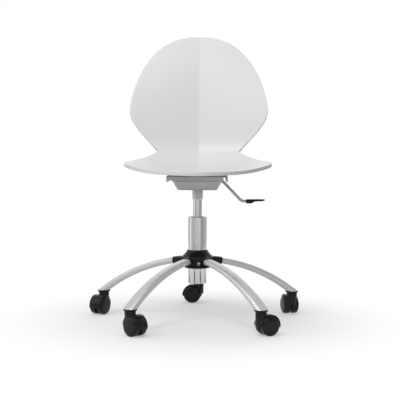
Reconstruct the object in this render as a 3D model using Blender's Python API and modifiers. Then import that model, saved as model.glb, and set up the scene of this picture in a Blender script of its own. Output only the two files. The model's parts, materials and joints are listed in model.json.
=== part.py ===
# Office chair: a one-piece shell on a gas spring, with a five-star base on twin-wheel casters.
# Metres, +Z up, the sitter faces -Y. Everything is laid out about the column axis, and the whole
# chair is then moved so that the origin lies on the floor under the middle of its outline.

import math

import bmesh
import bpy
from mathutils import Matrix, Vector

# Gaps between pieces, and the fineness of round ones
CLEAR = 0.0003              # between pieces that touch
RUN_CLEAR = 0.0005          # between pieces that turn or slide on each other
OVERCUT = 0.004             # how far a cutter reaches past what it cuts
TURN_SIDES = 20             # of large round pieces
ROUND_SIDES = 12            # of small ones
SHARP_ANGLE = math.radians(35)

# Shell, along its middle line from the front edge of the seat to the top of the back
SHELL_THICKNESS = 0.009
SHELL_EDGE_ROUND = 0.003
SHELL_EDGE_STEPS = 2
SHELL_EDGE_ANGLE = math.radians(50)
SEAT_FRONT_Y = -0.200
SEAT_NOSE_LENGTH = 0.080
SEAT_NOSE_ANGLE = math.radians(-4.87)
SEAT_FLAT_LENGTH = 0.172
SEAT_ANGLE = math.radians(3.22)
BEND_RADIUS = 0.088
BACK_FOOT_ANGLE = math.radians(80.0)
BACK_LENGTH = 0.3122
BACK_TOP_ANGLE = math.radians(70.0)
SEAT_HALF_WIDTH = 0.2030
WAIST_HALF_WIDTH = 0.1173
BACK_HALF_WIDTH = 0.1967
SEAT_LOBE_POWER = 1.605     # of the rounded front; 2 with a root of 0.5 is an ellipse
SEAT_LOBE_ROOT = 0.5336
BACK_LOBE_POWER = 1.586     # of the rounded top
BACK_LOBE_ROOT = 0.4097
SEAT_LOBE_LENGTH = 0.2119   # front edge to the widest place of the seat
SEAT_FLANK_LENGTH = 0.1122  # from there to the waist
BACK_FLANK_LENGTH = 0.1275  # from the waist to the widest place of the back
SEAT_FLANK_SLOPE = 0.884    # how straight the outline runs into the waist, seat side
BACK_FLANK_SLOPE = 0.780    # and back side
NOSE_SLOPE = 0.020          # of each half of the seat's front edge, outwards from the crease
SEAT_SLOPE = 0.050          # and of the seat behind it
CREASE_SLOPE = 0.145        # where the crease is deepest, at the foot of the back
TOP_SLOPE = 0.030           # at the top of the back
CREASE_START = 0.200        # where the crease starts to deepen
CREASE_PAST_WAIST = 0.032   # its deepest place, from the waist
NOSE_RISE = 0.0075          # of the front edge's dish, over half the seat's width
SEAT_RISE = 0.00366         # of the seat's sides at its widest, by its dish
BACK_WRAP = 0.0019          # of the back's sides at its widest
DISH_BLEND = 0.12
LOBE_END_ANGLE = math.radians(7.0)
LOBE_ROWS = 8
FLANK_ROWS = 5
HALF_COLUMNS = 6
LINE_STEPS = 400            # for places that are searched along the middle line

# Seat plate, pan and seat screws, hung under the shell
PLATE_TOP = 0.3965
PLATE_GAP = 0.0039          # under the lowest part of the seat
PLATE_THICKNESS = 0.003
PLATE_MARGIN = 0.025        # past the pan, at its front and back
PLATE_END_GAP = 0.0065      # between the pan's rim and the turned-down ends
PLATE_END_DROP = 0.015
PLATE_END_THICKNESS = 0.005
PLATE_FRONT_DROP = 0.0115   # of the turned-down front, which stops short on the lever's side
PAN_FRONT_Y = -0.075
PAN_BACK_Y = 0.060
PAN_RIM_HALF_WIDTH = 0.0695
PAN_RIM_HEIGHT = 0.0112
PAN_SHOULDER_HALF_WIDTH = 0.0658
PAN_SHOULDER_DROP = 0.0015
PAN_FLOOR_HALF_WIDTH = 0.0531
PAN_DEPTH = 0.0357
PAN_WALL = 0.002
PAN_CORNER = 0.010
CORNER_STEPS = 3
SCREW_X = 0.060
SCREW_RADIUS = 0.0027
SCREW_HEAD_MARGIN = 0.0023
SCREW_HEAD_HEIGHT = 0.003
SCREW_COVER = 0.003         # of the shell, left over a screw's tip
BOSS_WALL = 0.0053

# Height lever, pivoting on a pin along Y
LEVER_RADIUS = 0.0040
LEVER_PIVOT_X = 0.0590
LEVER_HEADROOM = 0.0017     # over the lever, in its bracket
LEVER_STROKE_ROOM = 0.0083  # between the lever and the gas spring's top
LEVER_TIP_PAST = 0.002      # past the valve button
LEVER_KNEE_X = 0.1205
LEVER_REST_DROP = 0.0594    # of the paddle end, below the pivot
LEVER_REST_LENGTH = 0.026
LEVER_BEND = 0.018
LEVER_SHOULDER_BEND = 0.008
BEND_STEPS = 5
ROD_ROUNDNESS = 3
PIN_RADIUS = 0.002
PIN_PAST = 0.002            # past the bracket, on each side
BRACKET_HALF_LENGTH = 0.007
BRACKET_WALL = 0.003
BRACKET_WEB = 0.003
BRACKET_DROP = 0.0055       # below the pin
NOTCH_GAP = 0.0008          # beside the bracket
NOTCH_SILL = 0.0035         # above the pan's floor
PADDLE_GAP = 0.004          # from the rod's lower bend
PADDLE_SOCKET_END = 0.0015
PADDLE_SOCKET_WALL = 0.0012
PADDLE_SOCKET_CHEEK = 0.0032
PADDLE_BLADE_LENGTH = 0.0352
PADDLE_BLADE_THICKNESS = 0.0050
PADDLE_BLADE_HALF_WIDTH = 0.0150
PADDLE_FLARE = 0.0088
PADDLE_TIP_THICKNESS = 0.003
PADDLE_ROUNDNESS = 0.8      # part of each section's half height that is rounded

# Column
STAND_RADIUS = 0.0257
STAND_WALL = 0.002
STAND_BELOW_HUB = 0.0425
STAND_FLOOR_RECESS = 0.005
STAND_FLOOR = 0.004
SPRING_RADIUS = 0.0123
SPRING_WALL = 0.0018
SPRING_TOP_CHAMFER = 0.005
SPRING_HEAD = 0.010
SPRING_SEAL = 0.010
LIFT_DOWN = 0.045
LIFT_UP = 0.070
LIFT_STOP_GAP = 0.0035      # left between the socket and the stand tube when the seat is down
ROD_RADIUS = 0.005
PISTON_LENGTH = 0.013
BUSH_LENGTH = 0.080
BUSH_RECESS = 0.0015
BEARING_HEIGHT = 0.005
BEARING_WIDTH = 0.0085
BUFFER_HEIGHT = 0.016
BUFFER_WIDTH = 0.0067
CLIP_WIDTH = 0.0037
CLIP_THICKNESS = 0.0017
VALVE_RADIUS = 0.004
VALVE_DEPTH = 0.014
SOCKET_WALL = 0.0019
SOCKET_LENGTH = 0.0365

# Hub, laid round the roots of the legs
HUB_ABOVE_LEG = 0.0285
HUB_BELOW_LEG = 0.014
HUB_WALL = 0.0177
HUB_COLLAR = 0.0022
HUB_FLARE_POWER = 1.7       # 1 is a hollow quarter round, 2 a straight cone
HUB_FLARE_STEPS = 5
HUB_RIM_HEIGHT = 0.009      # of the bell's edge, under the flare
HUB_CORE_WALL = 0.0095      # round the tube, under the bell
HUB_WINDOW_WIDTH = 0.0145   # an opening in the core, between the front legs
HUB_WINDOW_HEIGHT = 0.0085
HUB_WINDOW_SILL = 0.002
HUB_WINDOW_X = 0.0077
HUB_SLEEVE_WALL = 0.0024
HUB_SLEEVE_LENGTH = 0.024
HUB_SHORT_SLEEVE_LENGTH = 0.005
HUB_SLEEVE_STEPS = 3
HUB_RING_WALL = 0.0092
HUB_RING_HEIGHT = 0.0067
HUB_RING_CHAMFER = 0.0015

# Legs
CASTER_CIRCLE = 0.280       # column axis to caster stem
LEG_ARC_RADIUS = 0.470
LEG_END_SLOPE = math.radians(38.0)
LEG_ROOT_GAP = 0.0117       # from the hub's bore
LEG_ROOT_WIDTH = 0.027
LEG_ROOT_HEIGHT = 0.016
LEG_END_WIDTH = 0.035
LEG_END_HEIGHT = 0.0195
LEG_WALL = 0.002
LEG_SQUARENESS = 2.6
LEG_SIDES = 12
LEG_STATIONS = 8
LEG_LAST_BEND = 0.030       # straight part before the level cut

# Casters, each in its own frame with the stem at x = 0 and the wheels trailing along +X
WHEEL_RADIUS = 0.026
WHEEL_SIDES = 20            # a multiple of four, so that a flat lies on the floor
WHEEL_GAP = 0.0008          # beside the web
WHEEL_WIDTH = 0.0192
WHEEL_FACE_RADIUS = 0.0160  # of the flat middle of the outer face
WHEEL_SHOULDER = 0.0068     # depth of the round from there to the tread
WHEEL_SHOULDER_STEPS = 4
WHEEL_EDGE = 0.0024         # of the tread's inner side
WHEEL_BORE_END = 0.0025
TRAIL = 0.0190
AXLE_RADIUS = 0.003
HOOD_SHORT = 0.0056         # the wheels' outer faces stand out of the hood
HOOD_GAP = 0.0010           # over the wheels
HOOD_WALL = 0.0021
HOOD_START_ANGLE = math.radians(-10.0)
HOOD_END_ANGLE = math.radians(178.0)
HOOD_SEGMENTS = 12
WEB_HALF_WIDTH = 0.0024
WEB_FOOT_DROP = 0.007
WEB_FOOT_HALF_LENGTH = 0.008
NECK_RADIUS = 0.0146
NECK_ABOVE_AXLE = 0.0018
NECK_RISE = 0.0072          # above the hood
PLUG_MARGIN = 0.0034        # past the neck
PLUG_THICKNESS = 0.0042
PLUG_CHAMFER = 0.0012
PLUG_SPIGOT_WALL = 0.0025
PLUG_SPIGOT_RISE = 0.0035   # into the leg
STEM_RADIUS = 0.004
STEM_RISE = 0.0004          # above the spigot

# Each leg: direction of the leg, direction in which its caster trails, length of its hub sleeve
LEGS = {
    "back": (90, 174.5, HUB_SLEEVE_LENGTH),
    "left": (162, 242, HUB_SLEEVE_LENGTH),
    "front_left": (234, 315.5, HUB_SHORT_SLEEVE_LENGTH),
    "front_right": (306, 30.5, HUB_SHORT_SLEEVE_LENGTH),
    "right": (18, 105, HUB_SLEEVE_LENGTH),
}

# Colour, roughness and metallic value of each kind of piece
FINISHES = {
    "white_shell": ((0.80, 0.80, 0.80), 0.35, 0.0),
    "zinc_steel": ((0.47, 0.47, 0.48), 0.38, 0.9),
    "pressed_steel": ((0.40, 0.40, 0.40), 0.45, 0.8),
    "chromed_tube": ((0.60, 0.60, 0.61), 0.22, 1.0),
    "silver_paint": ((0.62, 0.62, 0.63), 0.40, 0.5),
    "gloss_black": ((0.008, 0.008, 0.008), 0.22, 0.0),
    "matt_black": ((0.012, 0.012, 0.012), 0.60, 0.0),
    "grey_plastic": ((0.22, 0.22, 0.23), 0.50, 0.0),
    "bright_steel": ((0.46, 0.46, 0.46), 0.25, 1.0),
}

# Shell places
WAIST_AT = SEAT_LOBE_LENGTH + SEAT_FLANK_LENGTH
BACK_WIDEST_AT = WAIST_AT + BACK_FLANK_LENGTH
BACK_BEND_LENGTH = BEND_RADIUS * (BACK_FOOT_ANGLE - SEAT_ANGLE)
SHELL_LENGTH = SEAT_NOSE_LENGTH + SEAT_FLAT_LENGTH + BACK_BEND_LENGTH + BACK_LENGTH
CREASE_AT = WAIST_AT + CREASE_PAST_WAIST
NOSE_DISH = NOSE_RISE / SEAT_HALF_WIDTH ** 2
SEAT_DISH = SEAT_RISE / SEAT_HALF_WIDTH ** 2
BACK_DISH = BACK_WRAP / BACK_HALF_WIDTH ** 2

# Plate, pan and screws
PLATE_BOTTOM = PLATE_TOP - PLATE_THICKNESS
UNDER_PLATE = PLATE_BOTTOM - CLEAR
PLATE_HALF_WIDTH = PAN_RIM_HALF_WIDTH + PLATE_END_GAP + PLATE_END_THICKNESS
PLATE_FRONT_Y = PAN_FRONT_Y - PLATE_MARGIN
PLATE_BACK_Y = PAN_BACK_Y + PLATE_MARGIN
PAN_RIM_BOTTOM = UNDER_PLATE - PAN_RIM_HEIGHT
PAN_SHOULDER = PAN_RIM_BOTTOM - PAN_SHOULDER_DROP
PAN_FLOOR = UNDER_PLATE - PAN_DEPTH
SCREW_FRONT_Y = PAN_FRONT_Y - PLATE_MARGIN / 2
SCREW_BACK_Y = PAN_BACK_Y + PLATE_MARGIN / 2
SCREW_REACH = PLATE_GAP + SHELL_THICKNESS - SCREW_COVER
BOSS_RADIUS = SCREW_RADIUS + BOSS_WALL

# Lever
BRACKET_INSIDE = LEVER_RADIUS + RUN_CLEAR
BRACKET_OUTSIDE = BRACKET_INSIDE + BRACKET_WALL
PIN_HALF_LENGTH = BRACKET_OUTSIDE + PIN_PAST
NOTCH_HALF_WIDTH = BRACKET_OUTSIDE + NOTCH_GAP
LEVER_PIVOT_Z = UNDER_PLATE - BRACKET_WEB - LEVER_HEADROOM - LEVER_RADIUS
LEVER_REST_Z = LEVER_PIVOT_Z - LEVER_REST_DROP
LEVER_TIP_X = -VALVE_RADIUS - LEVER_TIP_PAST
LEVER_END_X = LEVER_KNEE_X + LEVER_REST_LENGTH

# Casters and legs, from the floor up
WHEEL_AXLE_Z = WHEEL_RADIUS * math.cos(math.pi / WHEEL_SIDES)
WHEEL_INNER = WEB_HALF_WIDTH + WHEEL_GAP
WHEEL_OUTER = WHEEL_INNER + WHEEL_WIDTH
HOOD_HALF_WIDTH = WHEEL_OUTER - HOOD_SHORT
HOOD_INNER_RADIUS = WHEEL_RADIUS + HOOD_GAP
HOOD_OUTER_RADIUS = HOOD_INNER_RADIUS + HOOD_WALL
NECK_BOTTOM = WHEEL_AXLE_Z + NECK_ABOVE_AXLE
NECK_TOP = WHEEL_AXLE_Z + HOOD_OUTER_RADIUS + NECK_RISE
PLUG_BOTTOM = NECK_TOP + RUN_CLEAR
PLUG_TOP = PLUG_BOTTOM + PLUG_THICKNESS
PLUG_RADIUS = NECK_RADIUS + PLUG_MARGIN
PLUG_BORE = STEM_RADIUS + RUN_CLEAR
LEG_END_Z = PLUG_TOP + CLEAR
SPIGOT_TOP = LEG_END_Z + PLUG_SPIGOT_RISE
STEM_TOP = SPIGOT_TOP + STEM_RISE
STEM_BOTTOM = WHEEL_AXLE_Z + math.sqrt(HOOD_INNER_RADIUS ** 2 - (TRAIL - STEM_RADIUS) ** 2)
HUB_BORE = STAND_RADIUS + CLEAR
LEG_ROOT_RADIUS = HUB_BORE + LEG_ROOT_GAP
LEG_ROOT_SINE = math.sin(LEG_END_SLOPE) - (CASTER_CIRCLE - LEG_ROOT_RADIUS) / LEG_ARC_RADIUS
LEG_RISE = LEG_ARC_RADIUS * (math.sqrt(1 - LEG_ROOT_SINE ** 2) - math.cos(LEG_END_SLOPE))
LEG_ROOT_Z = LEG_END_Z + LEG_RISE

# Hub and column
HUB_TOP = LEG_ROOT_Z + HUB_ABOVE_LEG
HUB_BOTTOM = LEG_ROOT_Z - HUB_BELOW_LEG
HUB_RADIUS = HUB_BORE + HUB_WALL
HUB_CORE_RADIUS = HUB_BORE + HUB_CORE_WALL
HUB_RING_TOP = HUB_BOTTOM - CLEAR
HUB_RING_BOTTOM = HUB_RING_TOP - HUB_RING_HEIGHT
HUB_RING_RADIUS = HUB_BORE + HUB_RING_WALL
SPRING_TOP = LEVER_PIVOT_Z - LEVER_RADIUS - LEVER_STROKE_ROOM
VALVE_TOP = LEVER_PIVOT_Z - LEVER_RADIUS - CLEAR
SOCKET_TOP = SPRING_TOP - SPRING_TOP_CHAMFER - CLEAR
SOCKET_BOTTOM = SOCKET_TOP - SOCKET_LENGTH
SOCKET_BORE = SPRING_RADIUS + CLEAR
SOCKET_RADIUS = SOCKET_BORE + SOCKET_WALL
STAND_TOP = SOCKET_BOTTOM - LIFT_DOWN - LIFT_STOP_GAP
STAND_BOTTOM = HUB_RING_BOTTOM - STAND_BELOW_HUB
STAND_BORE = STAND_RADIUS - STAND_WALL
STAND_FLOOR_BOTTOM = STAND_BOTTOM + STAND_FLOOR_RECESS
STAND_FLOOR_TOP = STAND_FLOOR_BOTTOM + STAND_FLOOR
BEARING_BOTTOM = STAND_FLOOR_TOP + CLEAR
BUFFER_BOTTOM = BEARING_BOTTOM + BEARING_HEIGHT + CLEAR
BUFFER_TOP = BUFFER_BOTTOM + BUFFER_HEIGHT
SPRING_BOTTOM = BUFFER_TOP + LIFT_DOWN + CLEAR
PISTON_BOTTOM = SPRING_BOTTOM + SPRING_SEAL + LIFT_UP + CLEAR
ROD_RUN = ROD_RADIUS + RUN_CLEAR

for old in list(bpy.data.objects):
    bpy.data.objects.remove(old, do_unlink=True)

parts = bpy.data.collections.new("office_chair")
cutters = bpy.data.collections.new("office_chair_cutters")
bpy.context.scene.collection.children.link(parts)
bpy.context.scene.collection.children.link(cutters)


def finish(kind):
    if kind not in bpy.data.materials:
        colour, roughness, metallic = FINISHES[kind]
        material = bpy.data.materials.new(kind)
        material.use_nodes = True
        shader = material.node_tree.nodes["Principled BSDF"]
        shader.inputs["Base Color"].default_value = (*colour, 1.0)
        shader.inputs["Roughness"].default_value = roughness
        shader.inputs["Metallic"].default_value = metallic
    return bpy.data.materials[kind]


def add_empty(name, parent, location=(0, 0, 0), turn=0.0):
    empty = bpy.data.objects.new(name, None)
    parts.objects.link(empty)
    empty.parent = parent
    empty.location = location
    empty.rotation_euler.z = turn
    return empty


def add_part(name, data, kind, parent, location=(0, 0, 0), rotation=(0, 0, 0)):
    part = bpy.data.objects.new(name, data)
    parts.objects.link(part)
    part.parent = parent
    part.location = location
    part.rotation_euler = rotation
    if not data.materials:
        data.materials.append(finish(kind))
    return part


def add_cutter(name, data, parent, location=(0, 0, 0), rotation=(0, 0, 0)):
    cutter = bpy.data.objects.new(name, data)
    cutters.objects.link(cutter)
    cutter.parent = parent
    cutter.location = location
    cutter.rotation_euler = rotation
    cutter.hide_render = True
    cutter.display_type = "WIRE"
    return cutter


def boolean(part, operation, tool):
    modifier = part.modifiers.new(operation.lower(), "BOOLEAN")
    modifier.operation = operation
    modifier.object = tool
    modifier.solver = "EXACT"


def mesh_from_bmesh(name, shape):
    mesh = bpy.data.meshes.new(name)
    shape.to_mesh(mesh)
    shape.free()
    mesh.shade_smooth()
    mesh.set_sharp_from_angle(angle=SHARP_ANGLE)
    return mesh


def cylinder_mesh(name, radius, bottom, top, sides=ROUND_SIDES):
    shape = bmesh.new()
    middle = Matrix.Translation((0, 0, (bottom + top) / 2))
    bmesh.ops.create_cone(shape, cap_ends=True, segments=sides, radius1=radius, radius2=radius,
                          depth=top - bottom, matrix=middle)
    return mesh_from_bmesh(name, shape)


def box_mesh(name, low, high):
    shape = bmesh.new()
    low, high = Vector(low), Vector(high)
    size = Matrix.Diagonal((high - low).to_4d())
    bmesh.ops.create_cube(shape, size=1.0, matrix=Matrix.Translation((low + high) / 2) @ size)
    return mesh_from_bmesh(name, shape)


def loft_mesh(name, rings, closed_start=True, closed_end=True):
    # Rings of equal length, joined in order, with flat ends.
    shape = bmesh.new()
    loops = [[shape.verts.new(point) for point in ring] for ring in rings]
    for near, far in zip(loops, loops[1:]):
        for k in range(len(near)):
            after = (k + 1) % len(near)
            shape.faces.new((near[k], near[after], far[after], far[k]))
    if closed_start:
        shape.faces.new(reversed(loops[0]))
    if closed_end:
        shape.faces.new(loops[-1])
    return mesh_from_bmesh(name, shape)


def turned_mesh(name, profile):
    # Profile of (radius, height) down the outer side and back up the inner one.
    mesh = bpy.data.meshes.new(name)
    count = len(profile)
    links = [(k, k + 1) for k in range(count - 1)]
    if profile[0][0] > 0 or profile[-1][0] > 0:
        links.append((count - 1, 0))
    mesh.from_pydata([(radius, 0, height) for radius, height in profile], links, [])
    return mesh


def turn(part, sides):
    screw = part.modifiers.new("turn", "SCREW")
    screw.steps = sides
    screw.render_steps = sides
    screw.use_merge_vertices = True
    screw.merge_threshold = 0.00001


def add_turned(name, profile, kind, parent, location=(0, 0, 0), sides=TURN_SIDES):
    part = add_part(name, turned_mesh(name, profile), kind, parent, location)
    turn(part, sides)
    return part


def ring_profile(inner, outer, bottom, top):
    return [(outer, top), (outer, bottom), (inner, bottom), (inner, top)]


def flat_curve(name, outline, half_thickness):
    curve = bpy.data.curves.new(name, "CURVE")
    curve.dimensions = "2D"
    curve.fill_mode = "BOTH"
    curve.extrude = half_thickness
    spline = curve.splines.new("POLY")
    spline.points.add(len(outline) - 1)
    for point, (x, y) in zip(spline.points, outline):
        point.co = (x, y, 0, 1)
    spline.use_cyclic_u = True
    return curve


def rod_curve(name, route, radius):
    curve = bpy.data.curves.new(name, "CURVE")
    curve.dimensions = "3D"
    curve.bevel_depth = radius
    curve.bevel_resolution = ROD_ROUNDNESS
    curve.use_fill_caps = True
    spline = curve.splines.new("POLY")
    spline.points.add(len(route) - 1)
    for point, place in zip(spline.points, route):
        point.co = (*place, 1)
    return curve


def solid_from(maker):
    # A welded mesh of an object as it is shown; the object itself is removed.
    bpy.context.view_layer.update()
    shown = maker.evaluated_get(bpy.context.evaluated_depsgraph_get())
    mesh = bpy.data.meshes.new_from_object(shown)
    shape = bmesh.new()
    shape.from_mesh(mesh)
    bmesh.ops.remove_doubles(shape, verts=shape.verts, dist=0.00001)
    bmesh.ops.recalc_face_normals(shape, faces=shape.faces)
    shape.to_mesh(mesh)
    shape.free()
    bpy.data.objects.remove(maker, do_unlink=True)
    return mesh


def solid_from_curve(curve, rotation=(0, 0, 0)):
    maker = add_cutter(curve.name, curve, None)
    mesh = solid_from(maker)
    turned = Matrix.Identity(4)
    for axis, angle in zip("XYZ", rotation):
        turned = Matrix.Rotation(angle, 4, axis) @ turned
    mesh.transform(turned)
    return mesh


def rounded_corner(before, corner, after, radius):
    # Points on the arc that rounds one corner of a route.
    into = (corner - before).normalized()
    out = (after - corner).normalized()
    bend = into.angle(out)
    reach = radius * math.tan(bend / 2)
    side = (out - into).normalized()
    centre = corner + side * (radius / math.cos(bend / 2))
    start = corner - into * reach - centre
    axis = into.cross(out).normalized()
    turns = [Matrix.Rotation(bend * k / BEND_STEPS, 3, axis) for k in range(BEND_STEPS + 1)]
    return [centre + turned @ start for turned in turns]


def blend(start, end, share):
    return start + (end - start) * share


def eased(share):
    share = min(max(share, 0.0), 1.0)
    return share * share * (3 - 2 * share)


# Shell

def shell_middle(distance):
    # Place and heading of the sitting surface's middle line, as a chain of arcs from its front edge.
    arcs = (
        (SEAT_NOSE_LENGTH, SEAT_NOSE_ANGLE, SEAT_ANGLE),
        (SEAT_FLAT_LENGTH, SEAT_ANGLE, SEAT_ANGLE),
        (BACK_BEND_LENGTH, SEAT_ANGLE, BACK_FOOT_ANGLE),
        (BACK_LENGTH, BACK_FOOT_ANGLE, BACK_TOP_ANGLE),
    )
    y, z = SEAT_FRONT_Y, 0.0
    heading = SEAT_NOSE_ANGLE
    for length, start, end in arcs:
        run = min(distance, length)
        if run <= 0:
            break
        heading = blend(start, end, run / length)
        if start == end:
            y += run * math.cos(start)
            z += run * math.sin(start)
        else:
            radius = length / (end - start)
            y += radius * (math.sin(heading) - math.sin(start))
            z += radius * (math.cos(start) - math.cos(heading))
        distance -= run
    return y, z, heading


def seat_front_height():
    # The lowest place of the middle line over the plate clears the plate by its gap.
    line = [shell_middle(SHELL_LENGTH * k / LINE_STEPS) for k in range(LINE_STEPS)]
    lowest = min(z for y, z, _ in line if PLATE_FRONT_Y < y < PLATE_BACK_Y)
    return PLATE_TOP + PLATE_GAP + SHELL_THICKNESS - lowest


SEAT_FRONT_Z = seat_front_height()


def flank(share, slope):
    return (3 - slope) * share ** 2 + (slope - 2) * share ** 3


def shell_half_width(distance):
    if distance <= SEAT_LOBE_LENGTH:
        share = 1 - distance / SEAT_LOBE_LENGTH
        return SEAT_HALF_WIDTH * (1 - share ** SEAT_LOBE_POWER) ** SEAT_LOBE_ROOT
    if distance <= WAIST_AT:
        share = (distance - SEAT_LOBE_LENGTH) / SEAT_FLANK_LENGTH
        return blend(SEAT_HALF_WIDTH, WAIST_HALF_WIDTH, flank(share, SEAT_FLANK_SLOPE))
    if distance <= BACK_WIDEST_AT:
        share = (BACK_WIDEST_AT - distance) / BACK_FLANK_LENGTH
        return blend(BACK_HALF_WIDTH, WAIST_HALF_WIDTH, flank(share, BACK_FLANK_SLOPE))
    share = (distance - BACK_WIDEST_AT) / (SHELL_LENGTH - BACK_WIDEST_AT)
    return BACK_HALF_WIDTH * (1 - share ** BACK_LOBE_POWER) ** BACK_LOBE_ROOT


def half_slope(distance):
    if distance < CREASE_START:
        return blend(NOSE_SLOPE, SEAT_SLOPE, eased(distance / CREASE_START))
    if distance < CREASE_AT:
        return blend(SEAT_SLOPE, CREASE_SLOPE, eased((distance - CREASE_START) / (CREASE_AT - CREASE_START)))
    return blend(CREASE_SLOPE, TOP_SLOPE, eased((distance - CREASE_AT) / (SHELL_LENGTH - CREASE_AT)))


def shell_point(distance, x):
    # Two nearly flat halves that rise from the crease, with a little dish.
    y, z, heading = shell_middle(distance)
    dish = blend(NOSE_DISH, SEAT_DISH, eased(distance / CREASE_START))
    dish = blend(dish, BACK_DISH, eased((distance - WAIST_AT + DISH_BLEND) / (2 * DISH_BLEND)))
    rise = half_slope(distance) * x + dish * x * x
    return Vector((x, y - math.sin(heading) * rise, SEAT_FRONT_Z + z + math.cos(heading) * rise))


def shell_rows():
    rows = []
    for k in range(LOBE_ROWS):
        angle = blend(LOBE_END_ANGLE, math.pi / 2, k / LOBE_ROWS)
        rows.append(SEAT_LOBE_LENGTH * (1 - math.cos(angle)))
    rows += [blend(SEAT_LOBE_LENGTH, WAIST_AT, k / FLANK_ROWS) for k in range(FLANK_ROWS)]
    rows += [blend(WAIST_AT, BACK_WIDEST_AT, k / FLANK_ROWS) for k in range(FLANK_ROWS)]
    for k in range(LOBE_ROWS + 1):
        angle = blend(0, math.pi / 2 - LOBE_END_ANGLE, k / LOBE_ROWS)
        rows.append(blend(BACK_WIDEST_AT, SHELL_LENGTH, math.sin(angle)))
    return rows


def seat_height(x, y):
    # Height of the sitting surface over one place.
    places = [shell_point(WAIST_AT * k / LINE_STEPS, x) for k in range(LINE_STEPS)]
    return min(places, key=lambda place: abs(place.y - y)).z


def build_shell(seat):
    shape = bmesh.new()
    grid = []
    for distance in shell_rows():
        width = shell_half_width(distance)
        columns = [width * k / HALF_COLUMNS for k in range(HALF_COLUMNS + 1)]
        grid.append([shape.verts.new(shell_point(distance, x)) for x in columns])
    for near, far in zip(grid, grid[1:]):
        for k in range(HALF_COLUMNS):
            shape.faces.new((near[k], near[k + 1], far[k + 1], far[k]))
    shell = add_part("seat_shell", mesh_from_bmesh("seat_shell", shape), "white_shell", seat)
    mirror = shell.modifiers.new("mirror", "MIRROR")
    mirror.use_axis = (True, False, False)
    mirror.merge_threshold = 0.00001
    solid = shell.modifiers.new("thickness", "SOLIDIFY")
    solid.thickness = SHELL_THICKNESS
    solid.offset = -1
    solid.use_even_offset = True
    edge = shell.modifiers.new("edge_round", "BEVEL")
    edge.width = SHELL_EDGE_ROUND
    edge.segments = SHELL_EDGE_STEPS
    edge.limit_method = "ANGLE"
    edge.angle_limit = SHELL_EDGE_ANGLE
    edge.use_clamp_overlap = False
    for name, x, y in screw_places():
        middle = seat_height(abs(x), y) - SHELL_THICKNESS / 2
        boss = cylinder_mesh(name + "_boss", BOSS_RADIUS, PLATE_TOP + CLEAR, middle)
        boolean(shell, "UNION", add_cutter(name + "_boss", boss, seat, (x, y, 0)))
    for name, x, y in screw_places():
        top = PLATE_TOP + SCREW_REACH + CLEAR
        hole = cylinder_mesh(name + "_hole", SCREW_RADIUS + CLEAR, PLATE_TOP - OVERCUT, top)
        boolean(shell, "DIFFERENCE", add_cutter(name + "_hole", hole, seat, (x, y, 0)))


# Seat plate, pan and screws

def screw_places():
    rows = (("front", SCREW_FRONT_Y), ("back", SCREW_BACK_Y))
    sides = (("left", -SCREW_X), ("right", SCREW_X))
    return [(f"seat_screw_{row}_{side}", x, y) for row, y in rows for side, x in sides]


def build_seat_plate(seat):
    end_bottom = PLATE_TOP - PLATE_END_DROP
    end_inside = PLATE_HALF_WIDTH - PLATE_END_THICKNESS
    half = [
        (PLATE_HALF_WIDTH, PLATE_TOP),
        (PLATE_HALF_WIDTH, end_bottom),
        (end_inside, end_bottom),
        (end_inside, PLATE_BOTTOM),
    ]
    outline = half + [(-x, z) for x, z in reversed(half)]
    curve = flat_curve("seat_plate", outline, (PLATE_BACK_Y - PLATE_FRONT_Y) / 2)
    mesh = solid_from_curve(curve, (math.pi / 2, 0, 0))
    middle = (PLATE_FRONT_Y + PLATE_BACK_Y) / 2
    plate = add_part("seat_plate", mesh, "zinc_steel", seat, (0, middle, 0))
    low = (-PLATE_HALF_WIDTH + PLATE_END_THICKNESS / 2, PLATE_FRONT_Y, PLATE_TOP - PLATE_FRONT_DROP)
    high = (PAN_RIM_HALF_WIDTH, PLATE_FRONT_Y + PLATE_THICKNESS, PLATE_TOP - PLATE_THICKNESS / 2)
    boolean(plate, "UNION", add_cutter("plate_front", box_mesh("plate_front", low, high), seat))
    for name, x, y in screw_places():
        name += "_plate_hole"
        hole = cylinder_mesh(name, SCREW_RADIUS + CLEAR, PLATE_BOTTOM - OVERCUT, PLATE_TOP + OVERCUT)
        boolean(plate, "DIFFERENCE", add_cutter(name, hole, seat, (x, y, 0)))


def build_screws(seat):
    tip = PLATE_TOP + SCREW_REACH
    head_radius = SCREW_RADIUS + SCREW_HEAD_MARGIN
    head_bottom = UNDER_PLATE - SCREW_HEAD_HEIGHT
    profile = [
        (0, tip),
        (SCREW_RADIUS, tip),
        (SCREW_RADIUS, UNDER_PLATE),
        (head_radius, UNDER_PLATE),
        (head_radius, head_bottom),
        (0, head_bottom),
    ]
    for name, x, y in screw_places():
        add_turned(name, profile, "bright_steel", seat, (x, y, 0), ROUND_SIDES)


def rounded_rectangle(half_x, half_y, corner):
    points = []
    for quarter, (x, y) in enumerate(((1, 1), (-1, 1), (-1, -1), (1, -1))):
        for k in range(CORNER_STEPS + 1):
            angle = math.pi / 2 * (quarter + k / CORNER_STEPS)
            points.append((x * (half_x - corner) + corner * math.cos(angle),
                           y * (half_y - corner) + corner * math.sin(angle)))
    return points


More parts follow.
